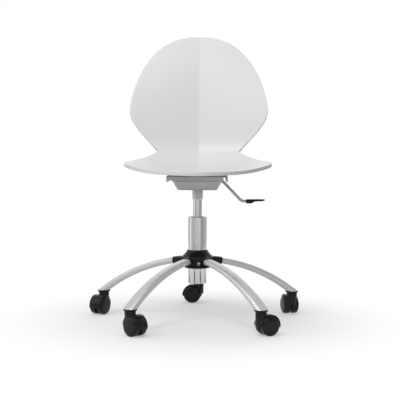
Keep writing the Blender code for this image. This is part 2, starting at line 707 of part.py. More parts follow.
def build_pan(seat):
    half_depth = (PAN_BACK_Y - PAN_FRONT_Y) / 2
    levels = (
        (PAN_FLOOR_HALF_WIDTH, PAN_FLOOR),
        (PAN_SHOULDER_HALF_WIDTH, PAN_SHOULDER),
        (PAN_RIM_HALF_WIDTH, PAN_RIM_BOTTOM),
        (PAN_RIM_HALF_WIDTH, UNDER_PLATE),
    )
    rings = []
    for half_width, height in levels:
        slack = PAN_RIM_HALF_WIDTH - half_width
        ring = rounded_rectangle(half_width, half_depth - slack, PAN_CORNER)
        rings.append([(x, y, height) for x, y in ring])
    mesh = loft_mesh("mechanism_pan", rings, closed_end=False)
    middle = (PAN_FRONT_Y + PAN_BACK_Y) / 2
    pan = add_part("mechanism_pan", mesh, "pressed_steel", seat, (0, middle, 0))
    wall = pan.modifiers.new("thickness", "SOLIDIFY")
    wall.thickness = PAN_WALL
    wall.offset = -1
    wall.use_even_offset = True
    hole_top = PAN_FLOOR + PAN_WALL + OVERCUT
    hole = cylinder_mesh("pan_hole", SOCKET_RADIUS + CLEAR, PAN_FLOOR - OVERCUT, hole_top, TURN_SIDES)
    boolean(pan, "DIFFERENCE", add_cutter("pan_hole", hole, seat))
    low = (PAN_FLOOR_HALF_WIDTH - OVERCUT, -NOTCH_HALF_WIDTH, PAN_FLOOR + NOTCH_SILL)
    high = (PAN_RIM_HALF_WIDTH + OVERCUT, NOTCH_HALF_WIDTH, PLATE_TOP)
    boolean(pan, "DIFFERENCE", add_cutter("lever_notch", box_mesh("lever_notch", low, high), seat))


def build_socket(seat):
    profile = ring_profile(SOCKET_BORE, SOCKET_RADIUS, SOCKET_BOTTOM, SOCKET_TOP)
    add_turned("taper_socket", profile, "zinc_steel", seat)


# Height lever

def lever_route():
    # From the tip over the valve button, past the pivot and down to the paddle, about the pivot.
    pivot = Vector((LEVER_PIVOT_X, 0, LEVER_PIVOT_Z))
    tip = Vector((LEVER_TIP_X, 0, LEVER_PIVOT_Z)) - pivot
    shoulder = Vector((LEVER_RADIUS, 0, 0))
    knee = Vector((LEVER_KNEE_X, 0, LEVER_REST_Z)) - pivot
    end = Vector((LEVER_END_X, 0, LEVER_REST_Z)) - pivot
    first = rounded_corner(tip, shoulder, knee, LEVER_SHOULDER_BEND)
    second = rounded_corner(shoulder, knee, end, LEVER_BEND)
    return [tip] + first + second + [end]


def build_lever(lever):
    mesh = solid_from_curve(rod_curve("lever_rod", lever_route(), LEVER_RADIUS))
    rod = add_part("lever_rod", mesh, "bright_steel", lever)
    reach = LEVER_RADIUS + OVERCUT
    hole = cylinder_mesh("lever_pin_hole", PIN_RADIUS + CLEAR, -reach, reach)
    boolean(rod, "DIFFERENCE", add_cutter("lever_pin_hole", hole, lever, rotation=(math.pi / 2, 0, 0)))


def build_paddle(lever):
    # Sections across the paddle, about the lever's pivot: place along it, half width, lower and
    # upper side. Its socket starts past the rod's lower bend and ends a little past the rod.
    bend_end, rod_end = lever_route()[-2:]
    bore_radius = LEVER_RADIUS + CLEAR
    top = rod_end.z + bore_radius + PADDLE_SOCKET_WALL
    bottom = rod_end.z - bore_radius - PADDLE_SOCKET_WALL
    blade_bottom = top - PADDLE_BLADE_THICKNESS
    socket_half_width = bore_radius + PADDLE_SOCKET_CHEEK
    start = bend_end.x + PADDLE_GAP
    neck = rod_end.x + PADDLE_SOCKET_END
    tip = neck + PADDLE_BLADE_LENGTH
    sections = (
        (start, socket_half_width, bottom, top),
        (neck, socket_half_width, bottom, top),
        (neck + PADDLE_FLARE, PADDLE_BLADE_HALF_WIDTH, blade_bottom, top),
        (tip - PADDLE_FLARE, PADDLE_BLADE_HALF_WIDTH, blade_bottom, top),
        (tip, socket_half_width, top - PADDLE_TIP_THICKNESS, top),
    )
    rings = []
    for x, half_width, low, high in sections:
        half_height = (high - low) / 2
        ring = rounded_rectangle(half_width, half_height, half_height * PADDLE_ROUNDNESS)
        rings.append([(x, y, z + (low + high) / 2) for y, z in ring])
    paddle = add_part("lever_paddle", loft_mesh("lever_paddle", rings), "matt_black", lever)
    bore = cylinder_mesh("paddle_bore", bore_radius, start - OVERCUT, rod_end.x + CLEAR)
    along = (0, math.pi / 2, 0)
    boolean(paddle, "DIFFERENCE", add_cutter("paddle_bore", bore, lever, (0, 0, rod_end.z), along))


def build_lever_bracket(seat):
    # An upside-down U round the lever, under the seat plate, with the pivot pin across it.
    top = UNDER_PLATE - LEVER_PIVOT_Z
    half = [
        (BRACKET_OUTSIDE, top),
        (BRACKET_OUTSIDE, -BRACKET_DROP),
        (BRACKET_INSIDE, -BRACKET_DROP),
        (BRACKET_INSIDE, top - BRACKET_WEB),
    ]
    outline = half + [(-y, z) for y, z in reversed(half)]
    curve = flat_curve("lever_bracket", outline, BRACKET_HALF_LENGTH)
    mesh = solid_from_curve(curve, (math.pi / 2, 0, math.pi / 2))
    pivot = (LEVER_PIVOT_X, 0, LEVER_PIVOT_Z)
    bracket = add_part("lever_bracket", mesh, "zinc_steel", seat, pivot)
    reach = PIN_HALF_LENGTH + OVERCUT
    hole = cylinder_mesh("bracket_hole", PIN_RADIUS + CLEAR, -reach, reach)
    lying = (math.pi / 2, 0, 0)
    boolean(bracket, "DIFFERENCE", add_cutter("bracket_hole", hole, seat, pivot, lying))
    pin = cylinder_mesh("lever_pin", PIN_RADIUS, -PIN_HALF_LENGTH, PIN_HALF_LENGTH)
    add_part("lever_pin", pin, "bright_steel", seat, pivot, lying)


# Column

def build_stand_tube(base):
    profile = [
        (STAND_RADIUS, STAND_TOP),
        (STAND_RADIUS, STAND_BOTTOM),
        (STAND_BORE, STAND_BOTTOM),
        (STAND_BORE, STAND_FLOOR_BOTTOM),
        (ROD_RUN, STAND_FLOOR_BOTTOM),
        (ROD_RUN, STAND_FLOOR_TOP),
        (STAND_BORE, STAND_FLOOR_TOP),
        (STAND_BORE, STAND_TOP),
    ]
    add_turned("stand_tube", profile, "chromed_tube", base)
    bush_top = STAND_TOP - BUSH_RECESS
    bush = ring_profile(SOCKET_BORE, STAND_BORE - CLEAR, bush_top - BUSH_LENGTH, bush_top)
    add_turned("guide_bush", bush, "grey_plastic", base)
    bearing_top = BEARING_BOTTOM + BEARING_HEIGHT
    bearing = ring_profile(ROD_RUN, ROD_RUN + BEARING_WIDTH, BEARING_BOTTOM, bearing_top)
    add_turned("thrust_bearing", bearing, "bright_steel", base)


def build_piston_rod(swivel):
    bottom = STAND_BOTTOM + CLIP_THICKNESS
    piston_radius = SPRING_RADIUS - SPRING_WALL - CLEAR
    profile = [
        (0, PISTON_BOTTOM + PISTON_LENGTH),
        (piston_radius, PISTON_BOTTOM + PISTON_LENGTH),
        (piston_radius, PISTON_BOTTOM),
        (ROD_RADIUS, PISTON_BOTTOM),
        (ROD_RADIUS, bottom),
        (0, bottom),
    ]
    add_turned("piston_rod", profile, "bright_steel", swivel)
    clip_top = STAND_FLOOR_BOTTOM - CLEAR
    seat_radius = ROD_RADIUS + CLEAR
    clip = ring_profile(seat_radius, seat_radius + CLIP_WIDTH, clip_top - CLIP_THICKNESS, clip_top)
    add_turned("retaining_clip", clip, "bright_steel", swivel)
    rubber = ring_profile(seat_radius, seat_radius + BUFFER_WIDTH, BUFFER_BOTTOM, BUFFER_TOP)
    add_turned("rubber_buffer", rubber, "matt_black", swivel)


def build_gas_spring(seat, valve):
    bore = SPRING_RADIUS - SPRING_WALL
    valve_hole = VALVE_RADIUS + CLEAR
    rod_hole = ROD_RADIUS + CLEAR
    profile = [
        (valve_hole, SPRING_TOP),
        (bore, SPRING_TOP),
        (SPRING_RADIUS, SPRING_TOP - SPRING_TOP_CHAMFER),
        (SPRING_RADIUS, SPRING_BOTTOM),
        (rod_hole, SPRING_BOTTOM),
        (rod_hole, SPRING_BOTTOM + SPRING_SEAL),
        (bore, SPRING_BOTTOM + SPRING_SEAL),
        (bore, SPRING_TOP - SPRING_HEAD),
        (valve_hole, SPRING_TOP - SPRING_HEAD),
    ]
    add_turned("pressure_tube", profile, "chromed_tube", seat)
    button = cylinder_mesh("valve_button", VALVE_RADIUS, SPRING_TOP - VALVE_DEPTH, VALVE_TOP)
    add_part("valve_button", button, "bright_steel", valve)


# Hub and legs

def leg_slope(radius):
    # The leg's middle line is one arc that ends level with the caster stem.
    return math.asin(math.sin(LEG_END_SLOPE) - (CASTER_CIRCLE - radius) / LEG_ARC_RADIUS)


def leg_ring(radius, inset):
    slope = leg_slope(radius)
    height = LEG_END_Z + LEG_ARC_RADIUS * (math.cos(slope) - math.cos(LEG_END_SLOPE))
    share = max(radius - LEG_ROOT_RADIUS, 0) / (CASTER_CIRCLE - LEG_ROOT_RADIUS)
    half_width = blend(LEG_ROOT_WIDTH, LEG_END_WIDTH, share) / 2 - inset
    half_height = blend(LEG_ROOT_HEIGHT, LEG_END_HEIGHT, share) / 2 - inset
    power = 2 / LEG_SQUARENESS
    ring = []
    for k in range(LEG_SIDES):
        angle = 2 * math.pi * k / LEG_SIDES
        across = math.copysign(abs(math.cos(angle)) ** power, math.cos(angle)) * half_width
        up = math.copysign(abs(math.sin(angle)) ** power, math.sin(angle)) * half_height
        ring.append(Vector((radius + up * math.sin(slope), across, height + up * math.cos(slope))))
    return ring


def leg_end_ring(inset):
    # The last section, slid along the leg until it lies level above the caster.
    along = Vector((math.cos(LEG_END_SLOPE), 0, -math.sin(LEG_END_SLOPE)))
    section = leg_ring(CASTER_CIRCLE, inset)
    return [point + along * ((point.z - LEG_END_Z) / math.sin(LEG_END_SLOPE)) for point in section]


def leg_rings(inset):
    last = CASTER_CIRCLE - LEG_LAST_BEND
    radii = [blend(LEG_ROOT_RADIUS, last, k / LEG_STATIONS) for k in range(LEG_STATIONS + 1)]
    return [leg_ring(radius, inset) for radius in radii] + [leg_end_ring(inset)]


def leg_mesh():
    # An oval tube: out along its outer side, and back along its bore.
    rings = leg_rings(0.0) + list(reversed(leg_rings(LEG_WALL)))
    shape = bmesh.new()
    shape.from_mesh(loft_mesh("leg_skin", rings, False, False))
    ends = [edge for edge in shape.edges if edge.is_boundary]
    bmesh.ops.bridge_loops(shape, edges=ends)
    bmesh.ops.recalc_face_normals(shape, faces=shape.faces)
    return mesh_from_bmesh("leg", shape)


def sleeve_mesh(name, start, end, wall):
    # The leg's section, swept from one radius to another, with its outside moved out by a wall.
    radii = [blend(start, end, k / HUB_SLEEVE_STEPS) for k in range(HUB_SLEEVE_STEPS + 1)]
    return loft_mesh(name, [leg_ring(radius, -wall) for radius in radii])


def hub_profile():
    # Down the outside: the collar, a flare to the tops of the sleeves, the bell's edge, and the core.
    inside = HUB_BORE - OVERCUT
    collar = HUB_BORE + HUB_COLLAR
    flare_top = HUB_TOP - HUB_COLLAR
    flare_bottom = max(point.z for point in leg_ring(HUB_RADIUS, -HUB_SLEEVE_WALL))
    profile = [(inside, HUB_TOP), (collar - HUB_COLLAR / 2, HUB_TOP)]
    for k in range(HUB_FLARE_STEPS + 1):
        angle = math.pi / 2 * k / HUB_FLARE_STEPS
        out = 1 - math.cos(angle) ** HUB_FLARE_POWER
        down = math.sin(angle) ** HUB_FLARE_POWER
        profile.append((blend(collar, HUB_RADIUS, out), blend(flare_top, flare_bottom, down)))
    rim = flare_bottom - HUB_RIM_HEIGHT
    profile += [(HUB_RADIUS, rim), (HUB_CORE_RADIUS, rim)]
    profile += [(HUB_CORE_RADIUS, HUB_BOTTOM), (inside, HUB_BOTTOM)]
    return profile


def build_hub(base):
    hub = add_turned("hub_cover", hub_profile(), "gloss_black", base)
    for name, (direction, _, length) in LEGS.items():
        name = f"hub_sleeve_{name}"
        sleeve = sleeve_mesh(name, HUB_BORE - OVERCUT, HUB_RADIUS + length, HUB_SLEEVE_WALL)
        boolean(hub, "UNION", add_cutter(name, sleeve, base, rotation=(0, 0, math.radians(direction))))
    for name, (direction, _, length) in LEGS.items():
        name = f"hub_hollow_{name}"
        hollow = sleeve_mesh(name, LEG_ROOT_RADIUS - CLEAR, HUB_RADIUS + length + 2 * OVERCUT, CLEAR)
        boolean(hub, "DIFFERENCE", add_cutter(name, hollow, base, rotation=(0, 0, math.radians(direction))))
    bore = cylinder_mesh("hub_bore", HUB_BORE, HUB_BOTTOM - OVERCUT, HUB_TOP + OVERCUT, TURN_SIDES)
    boolean(hub, "DIFFERENCE", add_cutter("hub_bore", bore, base))
    sill = HUB_BOTTOM + HUB_WINDOW_SILL
    low = (HUB_WINDOW_X - HUB_WINDOW_WIDTH / 2, -HUB_CORE_RADIUS - CLEAR, sill)
    high = (HUB_WINDOW_X + HUB_WINDOW_WIDTH / 2, 0, sill + HUB_WINDOW_HEIGHT)
    boolean(hub, "DIFFERENCE", add_cutter("hub_window", box_mesh("hub_window", low, high), base))
    ring = [
        (HUB_RING_RADIUS - HUB_RING_CHAMFER, HUB_RING_TOP),
        (HUB_RING_RADIUS, HUB_RING_TOP - HUB_RING_CHAMFER),
        (HUB_RING_RADIUS, HUB_RING_BOTTOM),
        (HUB_BORE, HUB_RING_BOTTOM),
        (HUB_BORE, HUB_RING_TOP),
    ]
    add_turned("hub_ring", ring, "gloss_black", base)


def build_legs(base):
    mesh = leg_mesh()
    spigot_radius = PLUG_BORE + PLUG_SPIGOT_WALL
    plug = turned_mesh("leg_plug", [
        (spigot_radius, SPIGOT_TOP),
        (spigot_radius, PLUG_TOP),
        (PLUG_RADIUS, PLUG_TOP),
        (PLUG_RADIUS, PLUG_BOTTOM + PLUG_CHAMFER),
        (PLUG_RADIUS - PLUG_CHAMFER, PLUG_BOTTOM),
        (PLUG_BORE, PLUG_BOTTOM),
        (PLUG_BORE, SPIGOT_TOP),
    ])
    for name, (direction, _, _) in LEGS.items():
        angle = math.radians(direction)
        add_part(f"leg_{name}", mesh, "silver_paint", base, rotation=(0, 0, angle))
        cap = add_part(f"leg_plug_{name}", plug, "gloss_black", base, stem_place(angle))
        turn(cap, ROUND_SIDES)


def stem_place(angle):
    return (CASTER_CIRCLE * math.cos(angle), CASTER_CIRCLE * math.sin(angle), 0)


# Casters

def hood_arc(radius, start, end):
    # Points about the axle, as (along the trail, height).
    points = []
    for k in range(HOOD_SEGMENTS + 1):
        angle = blend(start, end, k / HOOD_SEGMENTS)
        points.append((TRAIL + radius * math.cos(angle), WHEEL_AXLE_Z + radius * math.sin(angle)))
    return points


def caster_body_mesh():
    upright = (math.pi / 2, 0, 0)
    outer = hood_arc(HOOD_OUTER_RADIUS, HOOD_START_ANGLE, HOOD_END_ANGLE)
    inner = hood_arc(HOOD_INNER_RADIUS, HOOD_START_ANGLE, HOOD_END_ANGLE)
    hood = flat_curve("caster_hood", outer + inner[::-1], HOOD_HALF_WIDTH)
    body = add_cutter("caster_body", solid_from_curve(hood, upright), None)
    web_top = hood_arc(HOOD_INNER_RADIUS + HOOD_WALL / 2, HOOD_START_ANGLE, math.pi)
    foot = WHEEL_AXLE_Z - WEB_FOOT_DROP
    web_foot = [(TRAIL - WEB_FOOT_HALF_LENGTH, foot), (TRAIL + WEB_FOOT_HALF_LENGTH, foot)]
    web = flat_curve("caster_web", web_top + web_foot, WEB_HALF_WIDTH)
    neck = cylinder_mesh("caster_neck", NECK_RADIUS, NECK_BOTTOM, NECK_TOP, TURN_SIDES)
    tools = [
        ("UNION", add_cutter("caster_web", solid_from_curve(web, upright), None)),
        ("UNION", add_cutter("caster_neck", neck, None)),
    ]
    wheel_side = WHEEL_INNER - RUN_CLEAR
    room_radius = HOOD_INNER_RADIUS - CLEAR
    axle_place = (TRAIL, 0, WHEEL_AXLE_Z)
    for name, side in (("near", -1), ("far", 1)):
        ends = sorted((side * wheel_side, side * (HOOD_HALF_WIDTH + OVERCUT)))
        room = cylinder_mesh(f"wheel_room_{name}", room_radius, *ends, 2 * TURN_SIDES)
        tools.append(("DIFFERENCE", add_cutter(f"wheel_room_{name}", room, None, axle_place, upright)))
    stem = cylinder_mesh("stem_bore", STEM_RADIUS + CLEAR, STEM_BOTTOM - CLEAR, NECK_TOP + OVERCUT)
    tools.append(("DIFFERENCE", add_cutter("stem_bore", stem, None)))
    axle = cylinder_mesh("axle_bore", AXLE_RADIUS + CLEAR, -HOOD_HALF_WIDTH, HOOD_HALF_WIDTH)
    tools.append(("DIFFERENCE", add_cutter("axle_bore", axle, None, axle_place, upright)))
    for operation, tool in tools:
        boolean(body, operation, tool)
    mesh = solid_from(body)
    for _, tool in tools:
        bpy.data.objects.remove(tool, do_unlink=True)
    mesh.shade_smooth()
    mesh.set_sharp_from_angle(angle=SHARP_ANGLE)
    return mesh


def wheel_mesh():
    # Turned about the axle; the outer face is closed over the axle's end.
    bore = AXLE_RADIUS + CLEAR
    bore_end = WHEEL_OUTER - WHEEL_BORE_END
    profile = [(0, WHEEL_OUTER)]
    for k in range(WHEEL_SHOULDER_STEPS + 1):
        angle = math.pi / 2 * k / WHEEL_SHOULDER_STEPS
        radius = blend(WHEEL_FACE_RADIUS, WHEEL_RADIUS, math.sin(angle))
        profile.append((radius, WHEEL_OUTER - WHEEL_SHOULDER * (1 - math.cos(angle))))
    return turned_mesh("caster_wheel", profile + [
        (WHEEL_RADIUS, WHEEL_INNER + WHEEL_EDGE),
        (WHEEL_RADIUS - WHEEL_EDGE, WHEEL_INNER),
        (bore, WHEEL_INNER),
        (bore, bore_end),
        (0, bore_end),
    ])


def build_casters(base):
    body = caster_body_mesh()
    wheel = wheel_mesh()
    stem = cylinder_mesh("caster_stem", STEM_RADIUS, STEM_BOTTOM, STEM_TOP)
    axle_half_length = WHEEL_OUTER - WHEEL_BORE_END - CLEAR
    axle = cylinder_mesh("caster_axle", AXLE_RADIUS, -axle_half_length, axle_half_length)
    axle_place = (TRAIL, 0, WHEEL_AXLE_Z)
    flat_down = math.pi / WHEEL_SIDES
    for name, (direction, trail, _) in LEGS.items():
        name = f"caster_{name}"
        swivel = add_empty(name, base, stem_place(math.radians(direction)), math.radians(trail))
        add_part(f"{name}_body", body, "gloss_black", swivel)
        add_part(f"{name}_stem", stem, "bright_steel", swivel)
        add_part(f"{name}_axle", axle, "bright_steel", swivel, axle_place, (math.pi / 2, 0, 0))
        for side, lean in (("a", math.pi / 2), ("b", -math.pi / 2)):
            spun = (lean, flat_down, 0)
            roller = add_part(f"{name}_wheel_{side}", wheel, "gloss_black", swivel, axle_place, spun)
            turn(roller, WHEEL_SIDES)


def centre_over_origin(chair):
    # Moves the whole chair so that the middle of its outline from above is at the origin.
    bpy.context.view_layer.update()
    graph = bpy.context.evaluated_depsgraph_get()
    places = []
    for part in parts.objects:
        if part.type == "EMPTY":
            continue
        shown = part.evaluated_get(graph)
        mesh = shown.to_mesh()
        places += [part.matrix_world @ vertex.co for vertex in mesh.vertices]
        shown.to_mesh_clear()
    for axis in (0, 1):
        values = [place[axis] for place in places]
        chair.location[axis] = -(min(values) + max(values)) / 2
    bpy.context.view_layer.update()


def build_chair():
    chair = add_empty("chair", None)
    base = add_empty("base", chair)
    swivel = add_empty("column_swivel", base)
    seat = add_empty("seat", swivel)
    valve = add_empty("valve", seat)
    lever = add_empty("lever", seat, (LEVER_PIVOT_X, 0, LEVER_PIVOT_Z))
    build_shell(seat)
    build_seat_plate(seat)
    build_screws(seat)
    build_pan(seat)
    build_socket(seat)
    build_lever_bracket(seat)
    build_lever(lever)
    build_paddle(lever)
    build_gas_spring(seat, valve)
    build_piston_rod(swivel)
    build_stand_tube(base)
    build_hub(base)
    build_legs(base)
    build_casters(base)
    centre_over_origin(chair)


build_chair()
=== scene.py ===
import json
import math

import bmesh
import bpy
from mathutils import Matrix, Vector

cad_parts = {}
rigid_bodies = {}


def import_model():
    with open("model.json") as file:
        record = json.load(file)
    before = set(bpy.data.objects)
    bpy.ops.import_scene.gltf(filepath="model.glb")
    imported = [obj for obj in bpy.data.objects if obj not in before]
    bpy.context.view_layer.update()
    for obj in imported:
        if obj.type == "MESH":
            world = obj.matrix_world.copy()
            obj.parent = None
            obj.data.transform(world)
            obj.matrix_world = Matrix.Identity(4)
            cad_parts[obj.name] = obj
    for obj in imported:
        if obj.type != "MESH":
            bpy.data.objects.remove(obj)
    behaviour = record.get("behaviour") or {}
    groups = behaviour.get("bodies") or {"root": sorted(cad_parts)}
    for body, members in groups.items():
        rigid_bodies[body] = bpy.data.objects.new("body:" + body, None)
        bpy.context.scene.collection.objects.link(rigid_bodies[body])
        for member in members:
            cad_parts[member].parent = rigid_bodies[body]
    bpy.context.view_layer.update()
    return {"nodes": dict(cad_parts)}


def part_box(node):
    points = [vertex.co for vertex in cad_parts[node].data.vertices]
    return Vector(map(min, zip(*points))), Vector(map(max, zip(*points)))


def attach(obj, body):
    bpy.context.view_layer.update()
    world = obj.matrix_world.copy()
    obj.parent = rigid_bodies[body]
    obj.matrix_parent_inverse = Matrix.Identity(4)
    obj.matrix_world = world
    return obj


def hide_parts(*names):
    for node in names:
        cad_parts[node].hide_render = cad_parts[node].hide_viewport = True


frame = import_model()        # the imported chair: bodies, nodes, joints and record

legNames = ("back", "left", "front_left", "front_right", "right")
smallSides, roundSides, wideSides = 32, 64, 96   # of pins and holes, of tubes, of the widest rounds
clearance = 0.0003       # between pieces that touch
near = 0.0001            # places closer than this are the same
mostly = 0.5             # share of a normal that counts as facing one way
drillPast = 0.01         # how far a cut goes past what it cuts
drillReach = 0.03        # of a cross hole, to each side of its middle


def middleOf(node):
    low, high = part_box(node)
    return (low + high) / 2


def radiusOf(node):      # of a round node with an upright axis, or half of any node's width
    low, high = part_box(node)
    return (high.x - low.x) / 2


columnAxis = middleOf("stand_tube")
columnAxis.z = 0.0
toColumn = Matrix.Translation(columnAxis)   # pieces are modelled about the column, then moved here


# hands: selecting, pulling and finishing, as in edit mode

def freeHands():
    if bpy.context.object and bpy.context.object.mode != "OBJECT":
        bpy.ops.object.mode_set(mode="OBJECT")
    bpy.ops.object.select_all(action="DESELECT")


def takeUp(piece):
    freeHands()
    piece.select_set(True)
    bpy.context.view_layer.objects.active = piece


def openUp(piece):       # into edit mode, with everything selected
    takeUp(piece)
    bpy.ops.object.mode_set(mode="EDIT")
    bpy.ops.mesh.select_all(action="SELECT")


def nameIt(name):        # names the new primitive, puts its place into its mesh and opens it
    piece = bpy.context.object
    piece.name = name
    piece.data.name = name
    bpy.ops.object.transform_apply(location=True, rotation=True, scale=True)
    openUp(piece)
    return piece


def choose(kind, test):
    bpy.ops.mesh.select_mode(type=kind)
    bpy.ops.mesh.select_all(action="DESELECT")
    shape = bmesh.from_edit_mesh(bpy.context.object.data)
    items = {"VERT": shape.verts, "EDGE": shape.edges, "FACE": shape.faces}[kind]
    items.index_update()
    for item in items:
        if test(item):
            item.select_set(True)
    shape.select_flush_mode()
    bmesh.update_edit_mesh(bpy.context.object.data)


def slide(x=0.0, y=0.0, z=0.0):
    bpy.ops.transform.translate(value=(x, y, z))


def pull(x=0.0, y=0.0, z=0.0):
    bpy.ops.mesh.extrude_region_move(TRANSFORM_OT_translate={"value": (x, y, z)})


def widen(x, y, z, about=(0, 0, 0)):
    bpy.ops.transform.resize(value=(x, y, z), center_override=about)


def tilt(angle, axisName, about=(0, 0, 0)):   # without a window the operator turns the other way
    bpy.ops.transform.rotate(value=-angle, orient_axis=axisName, center_override=about)


def cut(place, normal, **keep):
    bpy.ops.mesh.select_all(action="SELECT")
    bpy.ops.mesh.bisect(plane_co=place, plane_no=normal, **keep)


def foldEdges(test, width, segments):
    choose("EDGE", test)
    bpy.ops.mesh.bevel(offset=width, segments=segments, affect="EDGES")


def closeUp(fill=True):
    bpy.ops.mesh.select_mode(type="VERT")
    bpy.ops.mesh.select_all(action="SELECT")
    bpy.ops.mesh.remove_doubles(threshold=near / 100)
    if fill:
        bpy.ops.mesh.fill_holes(sides=0)
    bpy.ops.mesh.select_all(action="SELECT")
    bpy.ops.mesh.normals_make_consistent(inside=False)
    bpy.ops.object.mode_set(mode="OBJECT")


def modify(piece, kind, **values):
    takeUp(piece)
    modifier = piece.modifiers.new(kind.lower(), kind)
    for key, value in values.items():
        setattr(modifier, key, value)
    bpy.ops.object.modifier_apply(modifier=modifier.name)


def roundEdges(piece, width, segments=2, angle=35):
    modify(piece, "BEVEL", width=width, segments=segments, limit_method="ANGLE",
           angle_limit=math.radians(angle))


def thicken(piece, wall, **more):
    modify(piece, "SOLIDIFY", thickness=wall, offset=-1, use_even_offset=True, **more)


def smoothShade(piece, angle=32):
    takeUp(piece)
    bpy.ops.object.shade_smooth_by_angle(angle=math.radians(angle))


def combine(piece, tool, operation):
    modify(piece, "BOOLEAN", operation=operation, object=tool, solver="EXACT")
    bpy.data.objects.remove(tool)


def turnPiece(name, rings, sides=roundSides):   # rings of (radius, height), the first one again to close
    freeHands()
    radius, height = rings[0]
    bpy.ops.mesh.primitive_circle_add(vertices=sides, radius=radius, location=(0, 0, height))
    piece = nameIt(name)
    for nextRadius, nextHeight in rings[1:]:
        pull(z=nextHeight - height)
        widen(nextRadius / radius, nextRadius / radius, 1, (0, 0, nextHeight))
        radius, height = nextRadius, nextHeight
    closeUp()
    return piece


def tubeRings(outer, inner, low, high):
    return [(outer, high), (outer, low), (inner, low), (inner, high), (outer, high)]


def addBlock(name, low, high):
    freeHands()
    low, high = Vector(low), Vector(high)
    bpy.ops.mesh.primitive_cube_add(size=1, location=(low + high) / 2, scale=high - low)
    return nameIt(name)


def drill(piece, radius, start, end, place, axisName="Z", sides=smallSides):
    tool = turnPiece("drill", [(radius, start), (radius, end)], sides)
    turned = {"X": Matrix.Rotation(math.pi / 2, 4, "Y"), "Y": Matrix.Rotation(-math.pi / 2, 4, "X"),
              "Z": Matrix.Identity(4)}[axisName]
    tool.data.transform(Matrix.Translation(place) @ turned)
    combine(piece, tool, "DIFFERENCE")


def handOver(piece, body, slot, node):   # finish, body and the node that the piece stands for
    piece.data.materials.clear()
    piece.data.materials.append(finishes[slot])
    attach(piece, body)
    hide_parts(node)


def setOnColumn(piece, body, slot, node, edge, segments=2, angle=35):
    roundEdges(piece, edge, segments, angle)
    piece.data.transform(toColumn)
    smoothShade(piece)
    handOver(piece, body, slot, node)


def copyOut(model, slot, copies):        # copies: name, matrix, body and node of each; the model goes
    for name, matrix, body, node in copies:
        twin = model.copy()
        twin.data = model.data.copy()
        twin.name = name
        twin.data.name = name
        bpy.context.collection.objects.link(twin)
        twin.data.transform(matrix)
        handOver(twin, body, slot, node)
    bpy.data.objects.remove(model)


def standAt(node):                       # moves a model from the origin to the node, at its own height
    place = middleOf(node)
    return Matrix.Translation((place.x, place.y, 0))


def blend(start, end, share):
    return start + (end - start) * share


def eased(share):
    share = min(max(share, 0.0), 1.0)
    return share * share * (3 - 2 * share)


# finishes: effects shared by several materials are groups

effects = {              # each range is stretched to a mask from none to full
    "driftScale": 9.0,
    "driftRange": (0.3, 0.7),
    "smudgeRange": (0.48, 0.72),
    "dustFacing": (0.15, 1.0),           # of the normal's upward part
    "dustRange": (0.35, 0.75),
    "wearEdges": (0.52, 0.60),           # of the pointiness
    "wearScale": 70.0,
    "wearRange": (0.40, 0.65),
    "streakRange": (0.3, 0.7),
}


def addNode(tree, kind, inputs=None, **settings):
    made = tree.nodes.new(kind)
    for key, value in settings.items():
        setattr(made, key, value)
    for key, value in (inputs or {}).items():
        if isinstance(value, bpy.types.NodeSocket):
            tree.links.new(value, made.inputs[key])
        else:
            made.inputs[key].default_value = value
    return made


def startGroup(name, inputs, outputs):
    tree = bpy.data.node_groups.new(name, "ShaderNodeTree")
    for label, value in inputs.items():
        socket = tree.interface.new_socket(label, in_out="INPUT", socket_type="NodeSocketFloat")
        socket.default_value = value
    for label in outputs:
        tree.interface.new_socket(label, in_out="OUTPUT", socket_type="NodeSocketFloat")
    coords = addNode(tree, "ShaderNodeTexCoord").outputs["Object"]
    return tree, addNode(tree, "NodeGroupInput").outputs, addNode(tree, "NodeGroupOutput").inputs, coords


def calc(tree, operation, first, second=0.5):
    return addNode(tree, "ShaderNodeMath", {0: first, 1: second}, operation=operation).outputs[0]


def remap(tree, value, fromLow, fromHigh, toLow=0.0, toHigh=1.0):
    inputs = {"Value": value, "From Min": fromLow, "From Max": fromHigh, "To Min": toLow, "To Max": toHigh}
    return addNode(tree, "ShaderNodeMapRange", inputs).outputs["Result"]


def noise(tree, vector, scale, **more):
    return addNode(tree, "ShaderNodeTexNoise", {"Vector": vector, "Scale": scale, **more}).outputs["Fac"]


def makeGrainGroup():    # fine moulded grain, and a slow drift of shade over it
    tree, given, out, coords = startGroup("mouldedGrain", {"Scale": 900.0}, ("Height", "Drift"))
    wide = noise(tree, coords, effects["driftScale"], Detail=4.0)
    tree.links.new(noise(tree, coords, given["Scale"], Detail=3.0, Roughness=0.55), out["Height"])
    tree.links.new(remap(tree, wide, *effects["driftRange"]), out["Drift"])
    return tree


def makeSmudgeGroup():   # marks of hands and cloths, as patches of another gloss
    tree, given, out, coords = startGroup("handlingSmudges", {"Scale": 26.0, "Amount": 1.0}, ("Mask",))
    warp = noise(tree, coords, given["Scale"], Detail=5.0, Roughness=0.62, Distortion=0.8)
    mask = remap(tree, warp, *effects["smudgeRange"])
    tree.links.new(calc(tree, "MULTIPLY", mask, given["Amount"]), out["Mask"])
    return tree


def makeDustGroup():     # dust that settles on what faces up
    tree, given, out, coords = startGroup("settledDust", {"Scale": 160.0, "Amount": 1.0}, ("Mask",))
    speck = noise(tree, coords, given["Scale"], Detail=6.0, Roughness=0.7)
    normal = addNode(tree, "ShaderNodeNewGeometry").outputs["Normal"]
    upward = addNode(tree, "ShaderNodeSeparateXYZ", {"Vector": normal}).outputs["Z"]
    cover = calc(tree, "MULTIPLY", remap(tree, upward, *effects["dustFacing"]),
                 remap(tree, speck, *effects["dustRange"]))
    tree.links.new(calc(tree, "MULTIPLY", cover, given["Amount"]), out["Mask"])
    return tree


